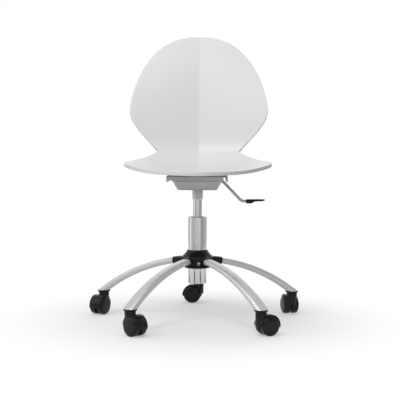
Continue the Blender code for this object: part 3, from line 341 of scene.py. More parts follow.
def makeWearGroup():     # rubbed edges, broken up by a coarse noise
    tree, given, out, coords = startGroup("rubbedEdges", {"Amount": 1.0}, ("Mask",))
    point = addNode(tree, "ShaderNodeNewGeometry").outputs["Pointiness"]
    patch = noise(tree, coords, effects["wearScale"], Detail=4.0)
    mask = calc(tree, "MULTIPLY", remap(tree, point, *effects["wearEdges"]),
                remap(tree, patch, *effects["wearRange"]))
    tree.links.new(calc(tree, "MULTIPLY", mask, given["Amount"]), out["Mask"])
    return tree


def makeStreakGroup():   # fine lines along the height, as drawing or polishing leaves them
    tree, given, out, coords = startGroup("drawnStreaks", {"Across": 900.0, "Along": 6.0}, ("Mask",))
    stretch = addNode(tree, "ShaderNodeCombineXYZ", {"X": given["Across"], "Y": given["Across"],
                                                     "Z": given["Along"]}).outputs["Vector"]
    scaled = addNode(tree, "ShaderNodeVectorMath", {0: coords, 1: stretch}, operation="MULTIPLY")
    lines = noise(tree, scaled.outputs["Vector"], 1.0, Detail=2.0)
    tree.links.new(remap(tree, lines, *effects["streakRange"]), out["Mask"])
    return tree


grainGroup = makeGrainGroup()
smudgeGroup = makeSmudgeGroup()
dustGroup = makeDustGroup()
wearGroup = makeWearGroup()
streakGroup = makeStreakGroup()


class Finish:            # one material, with its shader and the masks it is mixed from
    def __init__(self, name, **uniform):
        self.material = bpy.data.materials.new(name)
        self.material.use_nodes = True
        self.tree = self.material.node_tree
        self.shader = self.tree.nodes["Principled BSDF"]
        for key, value in uniform.items():
            self.shader.inputs[key.replace("_", " ")].default_value = value

    def group(self, tree, **values):
        made = addNode(self.tree, "ShaderNodeGroup", node_tree=tree)
        for key, value in values.items():
            made.inputs[key].default_value = value
        return made.outputs

    def patches(self, tree, values):
        scale, amount = values
        return self.group(tree, Scale=scale, Amount=amount)["Mask"]

    def spangle(self, scale):            # crystals of a zinc coat, each of its own tone
        coords = addNode(self.tree, "ShaderNodeTexCoord").outputs["Object"]
        cells = addNode(self.tree, "ShaderNodeTexVoronoi", {"Vector": coords, "Scale": scale})
        return addNode(self.tree, "ShaderNodeSeparateXYZ", {"Vector": cells.outputs["Color"]}).outputs["X"]

    def mix(self, mask, first, second):
        made = addNode(self.tree, "ShaderNodeMix", data_type="RGBA")
        for socket, value in zip((made.inputs[0], made.inputs[6], made.inputs[7]), (mask, first, second)):
            if isinstance(value, bpy.types.NodeSocket):
                self.tree.links.new(value, socket)
            else:
                socket.default_value = (*value, 1.0)
        return made.outputs[2]

    def dress(self, colour, roughMask, height, look):
        strength, distance = look["bump"]
        bump = addNode(self.tree, "ShaderNodeBump",
                       {"Strength": strength, "Distance": distance, "Height": height})
        rough = remap(self.tree, roughMask, 0.0, 1.0, *look["rough"])
        self.tree.links.new(colour, self.shader.inputs["Base Color"])
        self.tree.links.new(rough, self.shader.inputs["Roughness"])
        self.tree.links.new(bump.outputs["Normal"], self.shader.inputs["Normal"])
        return self.material


# smudge and dust: scale and amount; bump: strength and depth; tone: what mixes dark and light
looks = {
    "white_shell": {
        "dark": (0.80, 0.80, 0.80), "light": (0.792, 0.792, 0.790), "soil": (0.74, 0.735, 0.72),
        "rough": (0.36, 0.50), "grain": 1100.0, "bump": (0.05, 0.00006),
        "smudge": (14.0, 0.35), "dust": (240.0, 0.06),
    },
    "zinc_steel": {
        "metallic": 1.0,
        "dark": (0.53, 0.53, 0.54), "light": (0.60, 0.60, 0.61), "worn": (0.66, 0.66, 0.67),
        "rough": (0.42, 0.52), "grain": 1500.0, "bump": (0.06, 0.0001),
        "spangle": 340.0, "wear": 0.5,
    },
    "pressed_steel": {
        "metallic": 1.0,
        "dark": (0.415, 0.412, 0.403), "light": (0.470, 0.467, 0.458), "worn": (0.54, 0.54, 0.54),
        "rough": (0.40, 0.52), "grain": 1300.0, "bump": (0.08, 0.0001),
        "smudge": (30.0, 0.8), "wear": 0.6,
    },
    "silver_paint": {
        "metallic": 0.5, "tone": "Height",
        "dark": (0.62, 0.62, 0.625), "light": (0.71, 0.71, 0.715), "worn": (0.75, 0.75, 0.75),
        "soil": (0.58, 0.57, 0.56),
        "rough": (0.32, 0.42), "grain": 2600.0, "bump": (0.05, 0.00008),
        "smudge": (20.0, 0.6), "dust": (260.0, 0.08), "wear": 0.4,
    },
    "gloss_black": {
        "gloss": 0.27,
        "dark": (0.0028, 0.0028, 0.003), "light": (0.0055, 0.0055, 0.006), "worn": (0.014, 0.014, 0.014),
        "soil": (0.05, 0.049, 0.047),
        "rough": (0.14, 0.24), "grain": 500.0, "bump": (0.05, 0.0001),
        "smudge": (45.0, 1.0), "dust": (320.0, 0.05), "wear": 0.4,
    },
    "matt_black": {
        "gloss": 0.25,
        "dark": (0.007, 0.007, 0.007), "light": (0.012, 0.012, 0.012), "worn": (0.035, 0.035, 0.035),
        "soil": (0.08, 0.08, 0.076),
        "rough": (0.50, 0.64), "grain": 1400.0, "bump": (0.25, 0.00015),
        "dust": (300.0, 0.15), "wear": 0.4,
    },
    "bright_steel": {
        "metallic": 1.0,
        "dark": (0.42, 0.42, 0.425), "light": (0.48, 0.48, 0.485), "worn": (0.58, 0.58, 0.58),
        "rough": (0.24, 0.38), "grain": 1800.0, "bump": (0.05, 0.00008),
        "smudge": (60.0, 1.0), "wear": 0.5,
    },
    "grey_plastic": {
        "dark": (0.20, 0.20, 0.205), "light": (0.25, 0.25, 0.255),
        "rough": (0.42, 0.55), "grain": 1000.0, "bump": (0.10, 0.0001),
    },
    "rubber": {
        "dark": (0.016, 0.016, 0.016), "light": (0.028, 0.028, 0.027),
        "rough": (0.70, 0.85), "grain": 800.0, "bump": (0.30, 0.0002),
    },
}
chromedTube = {
    "bright": (0.63, 0.63, 0.64),
    "clean": (0.595, 0.595, 0.605),
    "film": (0.53, 0.53, 0.535),
    "rough": (0.14, 0.25),
    "streaks": (700.0, 5.0),             # across and along
    "smudge": (22.0, 0.7),
    "bump": (0.05, 0.00005),
}


def makeFinish(name, look):
    finish = Finish(name, Metallic=look.get("metallic", 0.0), Specular_IOR_Level=look.get("gloss", 0.5))
    grain = finish.group(grainGroup, Scale=look["grain"])
    tone = grain[look.get("tone", "Drift")]
    if "spangle" in look:
        tone = finish.spangle(look["spangle"])
    colour = finish.mix(tone, look["dark"], look["light"])
    if "wear" in look:
        colour = finish.mix(finish.group(wearGroup, Amount=look["wear"])["Mask"], colour, look["worn"])
    if "dust" in look:
        colour = finish.mix(finish.patches(dustGroup, look["dust"]), colour, look["soil"])
    roughMask = finish.patches(smudgeGroup, look["smudge"]) if "smudge" in look else tone
    return finish.dress(colour, roughMask, grain["Height"], look)


def makeChromedTube():
    finish = Finish("chromed_tube", Metallic=1.0)
    across, along = chromedTube["streaks"]
    streak = finish.group(streakGroup, Across=across, Along=along)["Mask"]
    smudge = finish.patches(smudgeGroup, chromedTube["smudge"])
    film = finish.mix(smudge, chromedTube["clean"], chromedTube["film"])
    return finish.dress(finish.mix(streak, film, chromedTube["bright"]), smudge, streak, chromedTube)


finishes = {name: makeFinish(name, look) for name, look in looks.items()}
finishes["chromed_tube"] = makeChromedTube()
print("finishes mixed:", len(finishes))


# shell: one moulding, seat and back in one sweep

shell = {
    "thickness": 0.009,
    "edgeRound": 0.0042,
    "frontY": -0.200,
    "frontZ": 0.40939,
    # each stretch of the middle line: length, heading at its start and at its end
    "stretches": ((0.080, -4.87, 3.22), (0.172, 3.22, 3.22), (0.11793, 3.22, 80.0), (0.3122, 80.0, 70.0)),
    "seatHalfWidth": 0.2030,
    "waistHalfWidth": 0.1142,
    "backHalfWidth": 0.1967,
    "seatLobe": 0.2119,
    "waistAt": 0.3241,
    "backWidestAt": 0.4516,
    "seatRound": (1.605, 0.5336),        # (2, 0.5) is an ellipse
    "backRound": (1.586, 0.4097),
    "flankSlopes": (0.884, 0.780),
    # slope of each half, at the front edge, the seat, the crease's deepest place and the top
    "halfSlopes": (0.020, 0.050, 0.145, 0.030),
    "creaseFrom": 0.200,
    "creaseAt": 0.3561,
    "dishes": (0.182, 0.0888, 0.0491),   # at the front edge, the seat and the back
    "dishBlend": 0.12,
    "lobeEnd": math.radians(5.0),
    "lobeRows": 11,
    "flankRows": 7,
    "waistRows": 0.005,                  # one more row on each side of the waist, to hold its bend
    "halfColumns": 8,
}
shellLength = sum(stretch[0] for stretch in shell["stretches"])


def shellMiddle(distance):
    y, z = shell["frontY"], shell["frontZ"]
    heading = math.radians(shell["stretches"][0][1])
    for length, start, end in shell["stretches"]:
        start, end = math.radians(start), math.radians(end)
        run = min(distance, length)
        if run <= 0:
            break
        heading = blend(start, end, run / length)
        if start == end:
            y += run * math.cos(start)
            z += run * math.sin(start)
        else:
            radius = length / (end - start)
            y += radius * (math.sin(heading) - math.sin(start))
            z += radius * (math.cos(start) - math.cos(heading))
        distance -= run
    return y, z, heading


def flankShare(share, slope):
    return (3 - slope) * share ** 2 + (slope - 2) * share ** 3


def lobeShare(share, power, root):
    return (1 - share ** power) ** root


def shellHalfWidth(distance):
    lobe, waistAt, widestAt = shell["seatLobe"], shell["waistAt"], shell["backWidestAt"]
    seat, waist, back = shell["seatHalfWidth"], shell["waistHalfWidth"], shell["backHalfWidth"]
    if distance <= lobe:
        return seat * lobeShare(1 - distance / lobe, *shell["seatRound"])
    if distance <= waistAt:
        share = (distance - lobe) / (waistAt - lobe)
        return blend(seat, waist, flankShare(share, shell["flankSlopes"][0]))
    if distance <= widestAt:
        share = (widestAt - distance) / (widestAt - waistAt)
        return blend(back, waist, flankShare(share, shell["flankSlopes"][1]))
    return back * lobeShare((distance - widestAt) / (shellLength - widestAt), *shell["backRound"])


def shellRise(distance, x):              # two nearly flat halves that meet in a crease
    start, deepest, reach = shell["creaseFrom"], shell["creaseAt"], shell["dishBlend"]
    nose, seat, crease, top = shell["halfSlopes"]
    behindNose = eased(distance / start)
    if distance < start:
        slope = blend(nose, seat, behindNose)
    elif distance < deepest:
        slope = blend(seat, crease, eased((distance - start) / (deepest - start)))
    else:
        slope = blend(crease, top, eased((distance - deepest) / (shellLength - deepest)))
    noseDish, seatDish, backDish = shell["dishes"]
    dish = blend(noseDish, seatDish, behindNose)
    dish = blend(dish, backDish, eased((distance - shell["waistAt"] + reach) / (2 * reach)))
    return slope * x + dish * x * x


def shellRows():
    lobes, flanks = shell["lobeRows"], shell["flankRows"]
    rows = []
    for k in range(lobes):
        angle = blend(shell["lobeEnd"], math.pi / 2, k / lobes)
        rows.append(shell["seatLobe"] * (1 - math.cos(angle)))
    rows += [blend(shell["seatLobe"], shell["waistAt"], k / flanks) for k in range(flanks)]
    rows += [blend(shell["waistAt"], shell["backWidestAt"], k / flanks) for k in range(flanks)]
    for k in range(lobes + 1):
        angle = blend(0, math.pi / 2 - shell["lobeEnd"], k / lobes)
        rows.append(blend(shell["backWidestAt"], shellLength, math.sin(angle)))
    rows += [shell["waistAt"] - shell["waistRows"], shell["waistAt"] + shell["waistRows"]]
    return sorted(rows)


def buildShell():
    rows = shellRows()
    half = shell["halfColumns"]
    across = 2 * half + 1
    freeHands()
    bpy.ops.mesh.primitive_grid_add(x_subdivisions=2 * half, y_subdivisions=len(rows) - 1, size=2)
    piece = nameIt("shell_moulding")
    for k, distance in enumerate(rows):
        width = shellHalfWidth(distance)
        y, z, heading = shellMiddle(distance)
        choose("VERT", lambda v: v.index // across == k)
        slide(y=1 - 2 * k / (len(rows) - 1))
        widen(width, 1, 1)
        for column in range(1, half + 1):      # both sides of a row rise together
            choose("VERT", lambda v: v.index // across == k and abs(v.index % across - half) == column)
            slide(z=shellRise(distance, width * column / half))
        choose("VERT", lambda v: v.index // across == k)
        tilt(heading, "X")
        slide(y=y, z=z)
    choose("EDGE", lambda e: all(abs(v.co.x) < near for v in e.verts))
    bpy.ops.transform.edge_crease(value=1.0)
    bpy.ops.object.mode_set(mode="OBJECT")
    modify(piece, "SUBSURF", levels=2, render_levels=2)
    thicken(piece, shell["thickness"], use_quality_normals=True)
    roundEdges(piece, shell["edgeRound"], segments=5, angle=50)
    piece.data.transform(toColumn)
    addBosses(piece)
    smoothShade(piece, angle=40)
    handOver(piece, "seat", "white_shell", "seat_shell")
    print("shell:", len(piece.data.polygons), "faces")


boss = {"radius": 0.008, "bite": 0.004, "hole": 0.003, "draft": 1.06}
screwNames = [f"seat_screw_{row}_{side}" for row in ("front", "back") for side in ("left", "right")]


def addBosses(piece):    # seats for the screws, from the plate into the shell's underside
    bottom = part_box("seat_plate")[1].z + clearance
    for name in screwNames:
        place = middleOf(name)
        bpy.context.view_layer.update()
        underside = piece.ray_cast((place.x, place.y, bottom), (0, 0, 1))[1]
        rings = [(boss["radius"], bottom), (boss["radius"] * boss["draft"], underside.z + boss["bite"])]
        stub = turnPiece("boss", rings, smallSides)
        stub.data.transform(standAt(name))
        combine(piece, stub, "UNION")
        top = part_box(name)[1].z + clearance
        drill(piece, boss["hole"], bottom - boss["bite"], top, (place.x, place.y, 0))


buildShell()


# seat plate, pan, socket and screws

plate = {"sheet": 0.003, "endSheet": 0.005, "frontDrop": 0.0115, "fold": 0.0022, "edge": 0.0005}


def buildPlate():
    low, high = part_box("seat_plate")
    sheet, endSheet = plate["sheet"], plate["endSheet"]
    bottom = high.z - sheet
    piece = addBlock("plate_pressing", (low.x, low.y, bottom), high)
    inside = radiusOf("seat_plate") - endSheet
    for side in (-1, 1):
        cut((columnAxis.x + side * inside, 0, 0), (1, 0, 0))
    choose("FACE", lambda f: f.normal.z < -mostly and abs(f.calc_center_median().x - columnAxis.x) > inside)
    pull(z=low.z - bottom)
    closeUp()
    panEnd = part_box("mechanism_pan")[1].x
    front = addBlock("plate_front", (low.x + endSheet / 2, low.y, high.z - plate["frontDrop"]),
                     (panEnd, low.y + sheet, high.z - sheet / 2))
    combine(piece, front, "UNION")
    openUp(piece)
    foldEdges(lambda e: isFold(e, low, high), plate["fold"], segments=4)
    closeUp()
    roundEdges(piece, plate["edge"], angle=50)
    for name in screwNames:
        place = middleOf(name)
        drill(piece, boss["hole"], low.z, high.z + drillPast, (place.x, place.y, 0))
    smoothShade(piece)
    handOver(piece, "seat", "zinc_steel", "seat_plate")


def isFold(edge, low, high):             # the upper edges of the two ends and the front
    onTop = all(v.co.z > high.z - near for v in edge.verts)
    onEnd = any(all(abs(v.co.x - end) < near for v in edge.verts) for end in (low.x, high.x))
    return onTop and (onEnd or all(v.co.y < low.y + near for v in edge.verts))


pan = {
    "shoulderHalfWidth": 0.0658,
    "floorHalfWidth": 0.0531,
    "rimHeight": 0.0112,
    "shoulderDrop": 0.0015,
    "wall": 0.002,
    "corner": 0.010,
    "floorFold": 0.0030,
    "rimFold": 0.0012,
    "notchHalfWidth": 0.0083,
    "notchSill": 0.0035,
}


def buildPan():
    low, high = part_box("mechanism_pan")
    middle = (low + high) / 2
    halfX, halfY = (high.x - low.x) / 2, (high.y - low.y) / 2
    slack = halfX - pan["floorHalfWidth"]
    freeHands()
    bpy.ops.mesh.primitive_plane_add(size=2, location=(middle.x, middle.y, low.z))
    bpy.ops.transform.resize(value=(halfX - slack, halfY - slack, 1))
    piece = nameIt("pan_pressing")
    rimBottom = high.z - pan["rimHeight"]
    width, height = pan["floorHalfWidth"], low.z
    for nextWidth, nextHeight in ((pan["shoulderHalfWidth"], rimBottom - pan["shoulderDrop"]),
                                  (halfX, rimBottom), (halfX, high.z)):
        pull(z=nextHeight - height)
        depth, nextDepth = halfY - halfX + width, halfY - halfX + nextWidth
        widen(nextWidth / width, nextDepth / depth, 1, (middle.x, middle.y, nextHeight))
        width, height = nextWidth, nextHeight
    bpy.ops.mesh.delete(type="ONLY_FACE")
    foldEdges(lambda e: abs(e.verts[0].co.z - e.verts[1].co.z) > near, pan["corner"], segments=6)
    foldEdges(lambda e: not e.is_boundary and all(v.co.z < low.z + near for v in e.verts),
              pan["floorFold"], segments=3)
    foldEdges(lambda e: all(abs(v.co.z - rimBottom) < near for v in e.verts), pan["rimFold"], segments=2)
    closeUp(fill=False)
    thicken(piece, pan["wall"])
    hole = radiusOf("taper_socket") + clearance
    drill(piece, hole, low.z - drillPast, low.z + drillPast, columnAxis, sides=roundSides)
    pivotY, past = middleOf("lever_pin").y, pan["wall"] * 2
    notch = addBlock("notch", (middle.x + pan["floorHalfWidth"] - past, pivotY - pan["notchHalfWidth"],
                               low.z + pan["notchSill"]),
                     (high.x + past, pivotY + pan["notchHalfWidth"], high.z + past))
    combine(piece, notch, "DIFFERENCE")
    smoothShade(piece)
    handOver(piece, "seat", "pressed_steel", "mechanism_pan")


socket = {"wall": 0.0019, "edge": 0.0006}


def buildSocket():
    low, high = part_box("taper_socket")
    outer = radiusOf("taper_socket")
    piece = turnPiece("socket_tube", tubeRings(outer, outer - socket["wall"], low.z, high.z))
    setOnColumn(piece, "seat", "zinc_steel", "taper_socket", socket["edge"])


screw = {"shank": 0.0027, "hexAcross": 0.0026, "hexDepth": 0.0018, "headEdge": 0.0008, "tip": 0.0006}


def buildScrews():
    low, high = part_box(screwNames[0])
    head = radiusOf(screwNames[0])
    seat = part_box("seat_plate")[1].z - plate["sheet"] - clearance
    rings = [(screw["shank"] - screw["tip"], high.z), (screw["shank"], high.z - screw["tip"]),
             (screw["shank"], seat), (head, seat), (head, low.z)]
    model = turnPiece("screw_model", rings, smallSides)
    roundEdges(model, screw["headEdge"], segments=3)
    drill(model, screw["hexAcross"], low.z - drillPast, low.z + screw["hexDepth"], (0, 0, 0), sides=6)
    smoothShade(model)
    copyOut(model, "bright_steel", [(name.replace("screw", "bolt"), standAt(name), "seat", name)
                                    for name in screwNames])


buildPlate()
buildPan()
buildSocket()
buildScrews()
print("seat plate, pan, socket and screws done")


# height lever, with its hanger and pin

hanger = {"gap": 0.0045, "web": 0.003, "pinHole": 0.0023, "edge": 0.0006, "pinEdge": 0.0005}


def buildHanger():
    low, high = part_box("lever_bracket")
    pivot = middleOf("lever_pin")
    gap = hanger["gap"]
    piece = addBlock("lever_hanger", (low.x, low.y, high.z - hanger["web"]), high)
    for side in (-1, 1):
        cut((0, pivot.y + side * gap, 0), (0, 1, 0))
    choose("FACE", lambda f: f.normal.z < -mostly and abs(f.calc_center_median().y - pivot.y) > gap)
    pull(z=low.z - high.z + hanger["web"])
    closeUp()
    roundEdges(piece, hanger["edge"], angle=50)
    drill(piece, hanger["pinHole"], -drillReach, drillReach, pivot, "Y")
    smoothShade(piece)
    handOver(piece, "seat", "zinc_steel", "lever_bracket")
    low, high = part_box("lever_pin")
    radius, reach = radiusOf("lever_pin"), (high.y - low.y) / 2
    pin = turnPiece("lever_cross_pin", [(radius, -reach), (radius, reach)], smallSides)
    roundEdges(pin, hanger["pinEdge"], segments=3)
    pin.data.transform(Matrix.Translation(pivot) @ Matrix.Rotation(math.pi / 2, 4, "X"))
    smoothShade(pin)
    handOver(pin, "seat", "bright_steel", "lever_pin")


lever = {
    "wire": 0.004,
    "shoulderBend": 0.008,
    "kneeBend": 0.018,
    "kneeX": 0.1205,         # from the column
    "bendSteps": 10,
    "edge": 0.0006,
    "sides": 24,
}


def buildLever():
    low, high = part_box("lever_rod")
    pivot = middleOf("lever_pin")
    wire = lever["wire"]
    restZ = low.z + wire
    shoulder = Vector((pivot.x + wire, pivot.y, pivot.z))
    knee = Vector((columnAxis.x + lever["kneeX"], pivot.y, restZ))
    slope = math.atan2(shoulder.z - knee.z, knee.x - shoulder.x)
    shoulderCut = lever["shoulderBend"] * math.tan(slope / 2)
    kneeCut = lever["kneeBend"] * math.tan(slope / 2)
    run = (knee - shoulder).length - shoulderCut - kneeCut
    freeHands()
    bpy.ops.mesh.primitive_circle_add(vertices=lever["sides"], radius=wire, rotation=(0, math.pi / 2, 0),
                                      location=(low.x, pivot.y, pivot.z))
    piece = nameIt("lever_wire")
    pull(x=shoulder.x - shoulderCut - low.x)
    bpy.ops.mesh.spin(steps=lever["bendSteps"], angle=slope, axis=(0, -1, 0),
                      center=(shoulder.x - shoulderCut, pivot.y, pivot.z - lever["shoulderBend"]))
    pull(x=run * math.cos(slope), z=-run * math.sin(slope))
    bpy.ops.mesh.spin(steps=lever["bendSteps"], angle=slope, axis=(0, 1, 0),
                      center=(knee.x + kneeCut, pivot.y, restZ + lever["kneeBend"]))
    pull(x=high.x - knee.x - kneeCut)
    closeUp()
    roundEdges(piece, lever["edge"], angle=50)
    drill(piece, hanger["pinHole"], -drillReach, drillReach, pivot, "Y")
    smoothShade(piece)
    handOver(piece, "lever", "bright_steel", "lever_rod")


paddle = {
    "socketLength": 0.0156,
    "socketHalfWidth": 0.0075,
    "bladeHalfWidth": 0.0150,
    "bladeThickness": 0.0050,
    "tipThickness": 0.0030,
    "flare": 0.0088,
    "edge": 0.0016,
    "bore": 0.0043,
}


def buildPaddle():
    low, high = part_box("lever_paddle")
    middleY = (low.y + high.y) / 2
    neck = low.x + paddle["socketLength"]
    half = paddle["socketHalfWidth"]
    piece = addBlock("lever_grip", (low.x, middleY - half, low.z), (neck, middleY + half, high.z))
    blade = (paddle["bladeHalfWidth"], paddle["bladeThickness"])
    choose("FACE", lambda f: f.normal.x > mostly)
    x, width, depth = neck, half, high.z - low.z
    for nextX, nextWidth, nextDepth in ((neck + paddle["flare"], *blade), (high.x - paddle["flare"], *blade),
                                        (high.x, half, paddle["tipThickness"])):
        pull(x=nextX - x)
        widen(1, nextWidth / width, nextDepth / depth, (nextX, middleY, high.z))
        x, width, depth = nextX, nextWidth, nextDepth
    closeUp()
    roundEdges(piece, paddle["edge"], segments=3, angle=15)
    modify(piece, "SUBSURF", levels=1, render_levels=1)
    rodLow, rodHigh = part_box("lever_rod")
    rodPlace = (0, middleY, rodLow.z + lever["wire"])
    drill(piece, paddle["bore"], low.x - drillPast, rodHigh.x + clearance, rodPlace, "X")
    smoothShade(piece, angle=40)
    handOver(piece, "lever", "matt_black", "lever_paddle")


buildHanger()
buildLever()
buildPaddle()
print("height lever done")


# column: gas spring in its stand tube

column = {
    "standWall": 0.002,
    "floorRecess": 0.005,
    "floor": 0.004,
    "rodHole": 0.0055,
    "rim": 0.0007,
    "bushEdge": 0.0008,
    "springChamfer": 0.005,
    "springWall": 0.0018,
    "springHead": 0.010,
    "springSeal": 0.010,
    "springEdge": 0.0006,
    "valveHole": 0.0043,
    "springRodHole": 0.0053,
}


def buildStandTube():
    low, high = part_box("stand_tube")
    outer = radiusOf("stand_tube")
    bore, hole = outer - column["standWall"], column["rodHole"]
    floorLow = low.z + column["floorRecess"]
    floorHigh = floorLow + column["floor"]
    rings = [(outer, high.z), (outer, low.z), (bore, low.z), (bore, floorLow), (hole, floorLow),
             (hole, floorHigh), (bore, floorHigh), (bore, high.z), (outer, high.z)]
    piece = turnPiece("column_tube", rings, wideSides)
    setOnColumn(piece, "base", "chromed_tube", "stand_tube", column["rim"], segments=3)


def buildBush():
    low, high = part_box("guide_bush")
    inner = radiusOf("taper_socket") - socket["wall"]
    piece = turnPiece("column_bush", tubeRings(radiusOf("guide_bush"), inner, low.z, high.z))
    setOnColumn(piece, "base", "grey_plastic", "guide_bush", column["bushEdge"])


def buildSpring():
    low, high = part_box("pressure_tube")
    outer = radiusOf("pressure_tube")
    bore = outer - column["springWall"]
    valve, rod = column["valveHole"], column["springRodHole"]
    sealTop, headBottom = low.z + column["springSeal"], high.z - column["springHead"]
    rings = [(valve, high.z), (bore, high.z), (outer, high.z - column["springChamfer"]), (outer, low.z),
             (rod, low.z), (rod, sealTop), (bore, sealTop), (bore, headBottom), (valve, headBottom),
             (valve, high.z)]
    piece = turnPiece("spring_cylinder", rings)
    setOnColumn(piece, "seat", "chromed_tube", "pressure_tube", column["springEdge"], angle=20)


buildStandTube()
buildBush()
buildSpring()
print("column done")


# legs: one oval tube, copied round the hub

leg = {
    "arcRadius": 0.470,
    "endSlope": math.radians(38.0),
    "rootRadius": 0.0377,
    "rootSize": (0.027, 0.016),          # width and height
    "endSize": (0.035, 0.0195),
    "wall": 0.002,
    "edge": 0.0005,
    "stations": 9,
    "straight": 0.030,                   # before the level cut
    "ringPoints": 8,
    "cornerPush": 1.1827,                # squares the ring a little before it is subdivided
    "ringGrow": 1.0578,
}
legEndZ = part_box("leg_back")[0].z
stemRadius = (middleOf("leg_plug_back") - columnAxis).to_2d().length


def legSlope(radius):
    return math.asin(math.sin(leg["endSlope"]) - (stemRadius - radius) / leg["arcRadius"])


def legPlace(radius):
    drop = math.cos(legSlope(radius)) - math.cos(leg["endSlope"])
    return Vector((radius, 0, legEndZ + leg["arcRadius"] * drop))


def legHalfSize(radius, grow):
    share = max(radius - leg["rootRadius"], 0) / (stemRadius - leg["rootRadius"])
    return [blend(root, end, share) / 2 + grow for root, end in zip(leg["rootSize"], leg["endSize"])]


def spread(start, end, steps):
    return [blend(start, end, k / steps) for k in range(steps + 1)]


def pullLeg(name, radii, grow=0.0, tail=0.0):   # rings of the leg's section, pulled from one to the next
    freeHands()
    bpy.ops.mesh.primitive_circle_add(vertices=leg["ringPoints"], radius=leg["ringGrow"],
                                      rotation=(0, math.pi / 2, 0))
    piece = nameIt(name)
    choose("VERT", lambda v: abs(abs(v.co.y) - abs(v.co.z)) < near)
    widen(1, leg["cornerPush"], leg["cornerPush"])
    bpy.ops.mesh.select_all(action="SELECT")
    width, height = legHalfSize(radii[0], grow)
    slope, place = legSlope(radii[0]), legPlace(radii[0])
    widen(1, width, height)
    tilt(slope, "Y")
    slide(*place)
    for radius in radii[1:]:
        nextPlace = legPlace(radius)
        nextWidth, nextHeight = legHalfSize(radius, grow)
        pull(*(nextPlace - place))
        tilt(legSlope(radius) - slope, "Y", nextPlace)
        widen(nextHeight / height, nextWidth / width, nextHeight / height, nextPlace)
        place, slope, width, height = nextPlace, legSlope(radius), nextWidth, nextHeight
    if tail:
        pull(x=tail * math.cos(slope), z=-tail * math.sin(slope))
    closeUp(fill=False)
    modify(piece, "SUBSURF", levels=3, render_levels=3)
    return piece


def legTurn(name):
    out = middleOf(f"leg_plug_{name}") - columnAxis
    return Matrix.Rotation(math.atan2(out.y, out.x), 4, "Z")


def buildLegs():
    radii = spread(leg["rootRadius"], stemRadius - leg["straight"], leg["stations"])
    model = pullLeg("leg_model", radii + [stemRadius], tail=leg["straight"])
    openUp(model)
    cut((0, 0, legEndZ), (0, 0, 1), clear_inner=True)
    closeUp(fill=False)
    thicken(model, leg["wall"])
    roundEdges(model, leg["edge"], angle=50)
    smoothShade(model)
    copyOut(model, "silver_paint", [(f"leg_tube_{name}", toColumn @ legTurn(name), "base", f"leg_{name}")
                                    for name in legNames])


buildLegs()
print("legs done")


# hub: a bell with a sleeve round each leg, blended into one moulding

hub = {
    "collar": 0.0022,
    "radius": 0.0437,
    "flarePower": 1.7,
    "flareSteps": 12,
    "rimHeight": 0.009,                  # of the bell's edge, under the flare
    "core": 0.0355,
    "window": ((0.0005, 0.0150), (0.0020, 0.0105)),   # an opening in the core: across, and above its foot
    "sleeveWall": 0.0024,
    "sleeveReach": {"back": 0.0677, "left": 0.0677, "right": 0.0677, "front_left": 0.0487,
                    "front_right": 0.0487},
    "sleeveSteps": 3,
    "voxel": 0.0008,
    "blend": (0.5, 14),                  # factor and rounds of smoothing
    "ringChamfer": 0.0015,
    "ringEdge": 0.0005,
}


def addSleeve(bell, name, start, past, grow, operation):   # or its hollow, by the operation
    radii = spread(start, hub["sleeveReach"][name] + past, hub["sleeveSteps"])
    sleeve = pullLeg("sleeve", radii, grow)
    openUp(sleeve)
    closeUp()
    sleeve.data.transform(legTurn(name))
    combine(bell, sleeve, operation)


def buildHub():
    bore = radiusOf("stand_tube") + clearance
    top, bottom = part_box("hub_cover")[1].z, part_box("hub_ring")[1].z + clearance
    collar = bore + hub["collar"]
    sleeveTop = legPlace(hub["radius"]).z + legHalfSize(hub["radius"], hub["sleeveWall"])[1]
    rings = [(collar - hub["collar"] / 2, top)]
    for angle in spread(0, math.pi / 2, hub["flareSteps"]):
        out = 1 - math.cos(angle) ** hub["flarePower"]
        down = math.sin(angle) ** hub["flarePower"]
        rings.append((blend(collar, hub["radius"], out), blend(top - hub["collar"], sleeveTop, down)))
    rim = sleeveTop - hub["rimHeight"]
    rings += [(hub["radius"], rim), (hub["core"], rim), (hub["core"], bottom)]
    bell = turnPiece("hub_bell", rings, wideSides)
    for name in legNames:
        addSleeve(bell, name, bore, 0, hub["sleeveWall"], "UNION")
    takeUp(bell)
    bell.data.remesh_voxel_size = hub["voxel"]
    bpy.ops.object.voxel_remesh()
    factor, rounds = hub["blend"]
    modify(bell, "SMOOTH", factor=factor, iterations=rounds)
    for name in legNames:
        addSleeve(bell, name, leg["rootRadius"] - clearance, drillPast, clearance, "DIFFERENCE")
    drill(bell, bore, bottom - drillPast, top + drillPast, (0, 0, 0), sides=wideSides)
    (left, right), (sill, head) = hub["window"]
    window = addBlock("window", (left, -hub["core"] - clearance, bottom + sill), (right, 0, bottom + head))
    combine(bell, window, "DIFFERENCE")
    bell.data.transform(toColumn)
    smoothShade(bell, angle=45)
    handOver(bell, "base", "gloss_black", "hub_cover")
    print("hub:", len(bell.data.polygons), "faces")
    low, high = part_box("hub_ring")
    outer, chamfer = radiusOf("hub_ring"), hub["ringChamfer"]
    rings = [(outer - chamfer, high.z), (outer, high.z - chamfer), (outer, low.z), (bore, low.z),
             (bore, high.z), (outer - chamfer, high.z)]
    ring = turnPiece("hub_foot_ring", rings, wideSides)
    setOnColumn(ring, "base", "gloss_black", "hub_ring", hub["ringEdge"], angle=25)


buildHub()


# leg caps

cap = {"bore": 0.0045, "spigot": 0.0070, "flange": 0.0042, "chamfer": 0.0012, "edge": 0.0004}


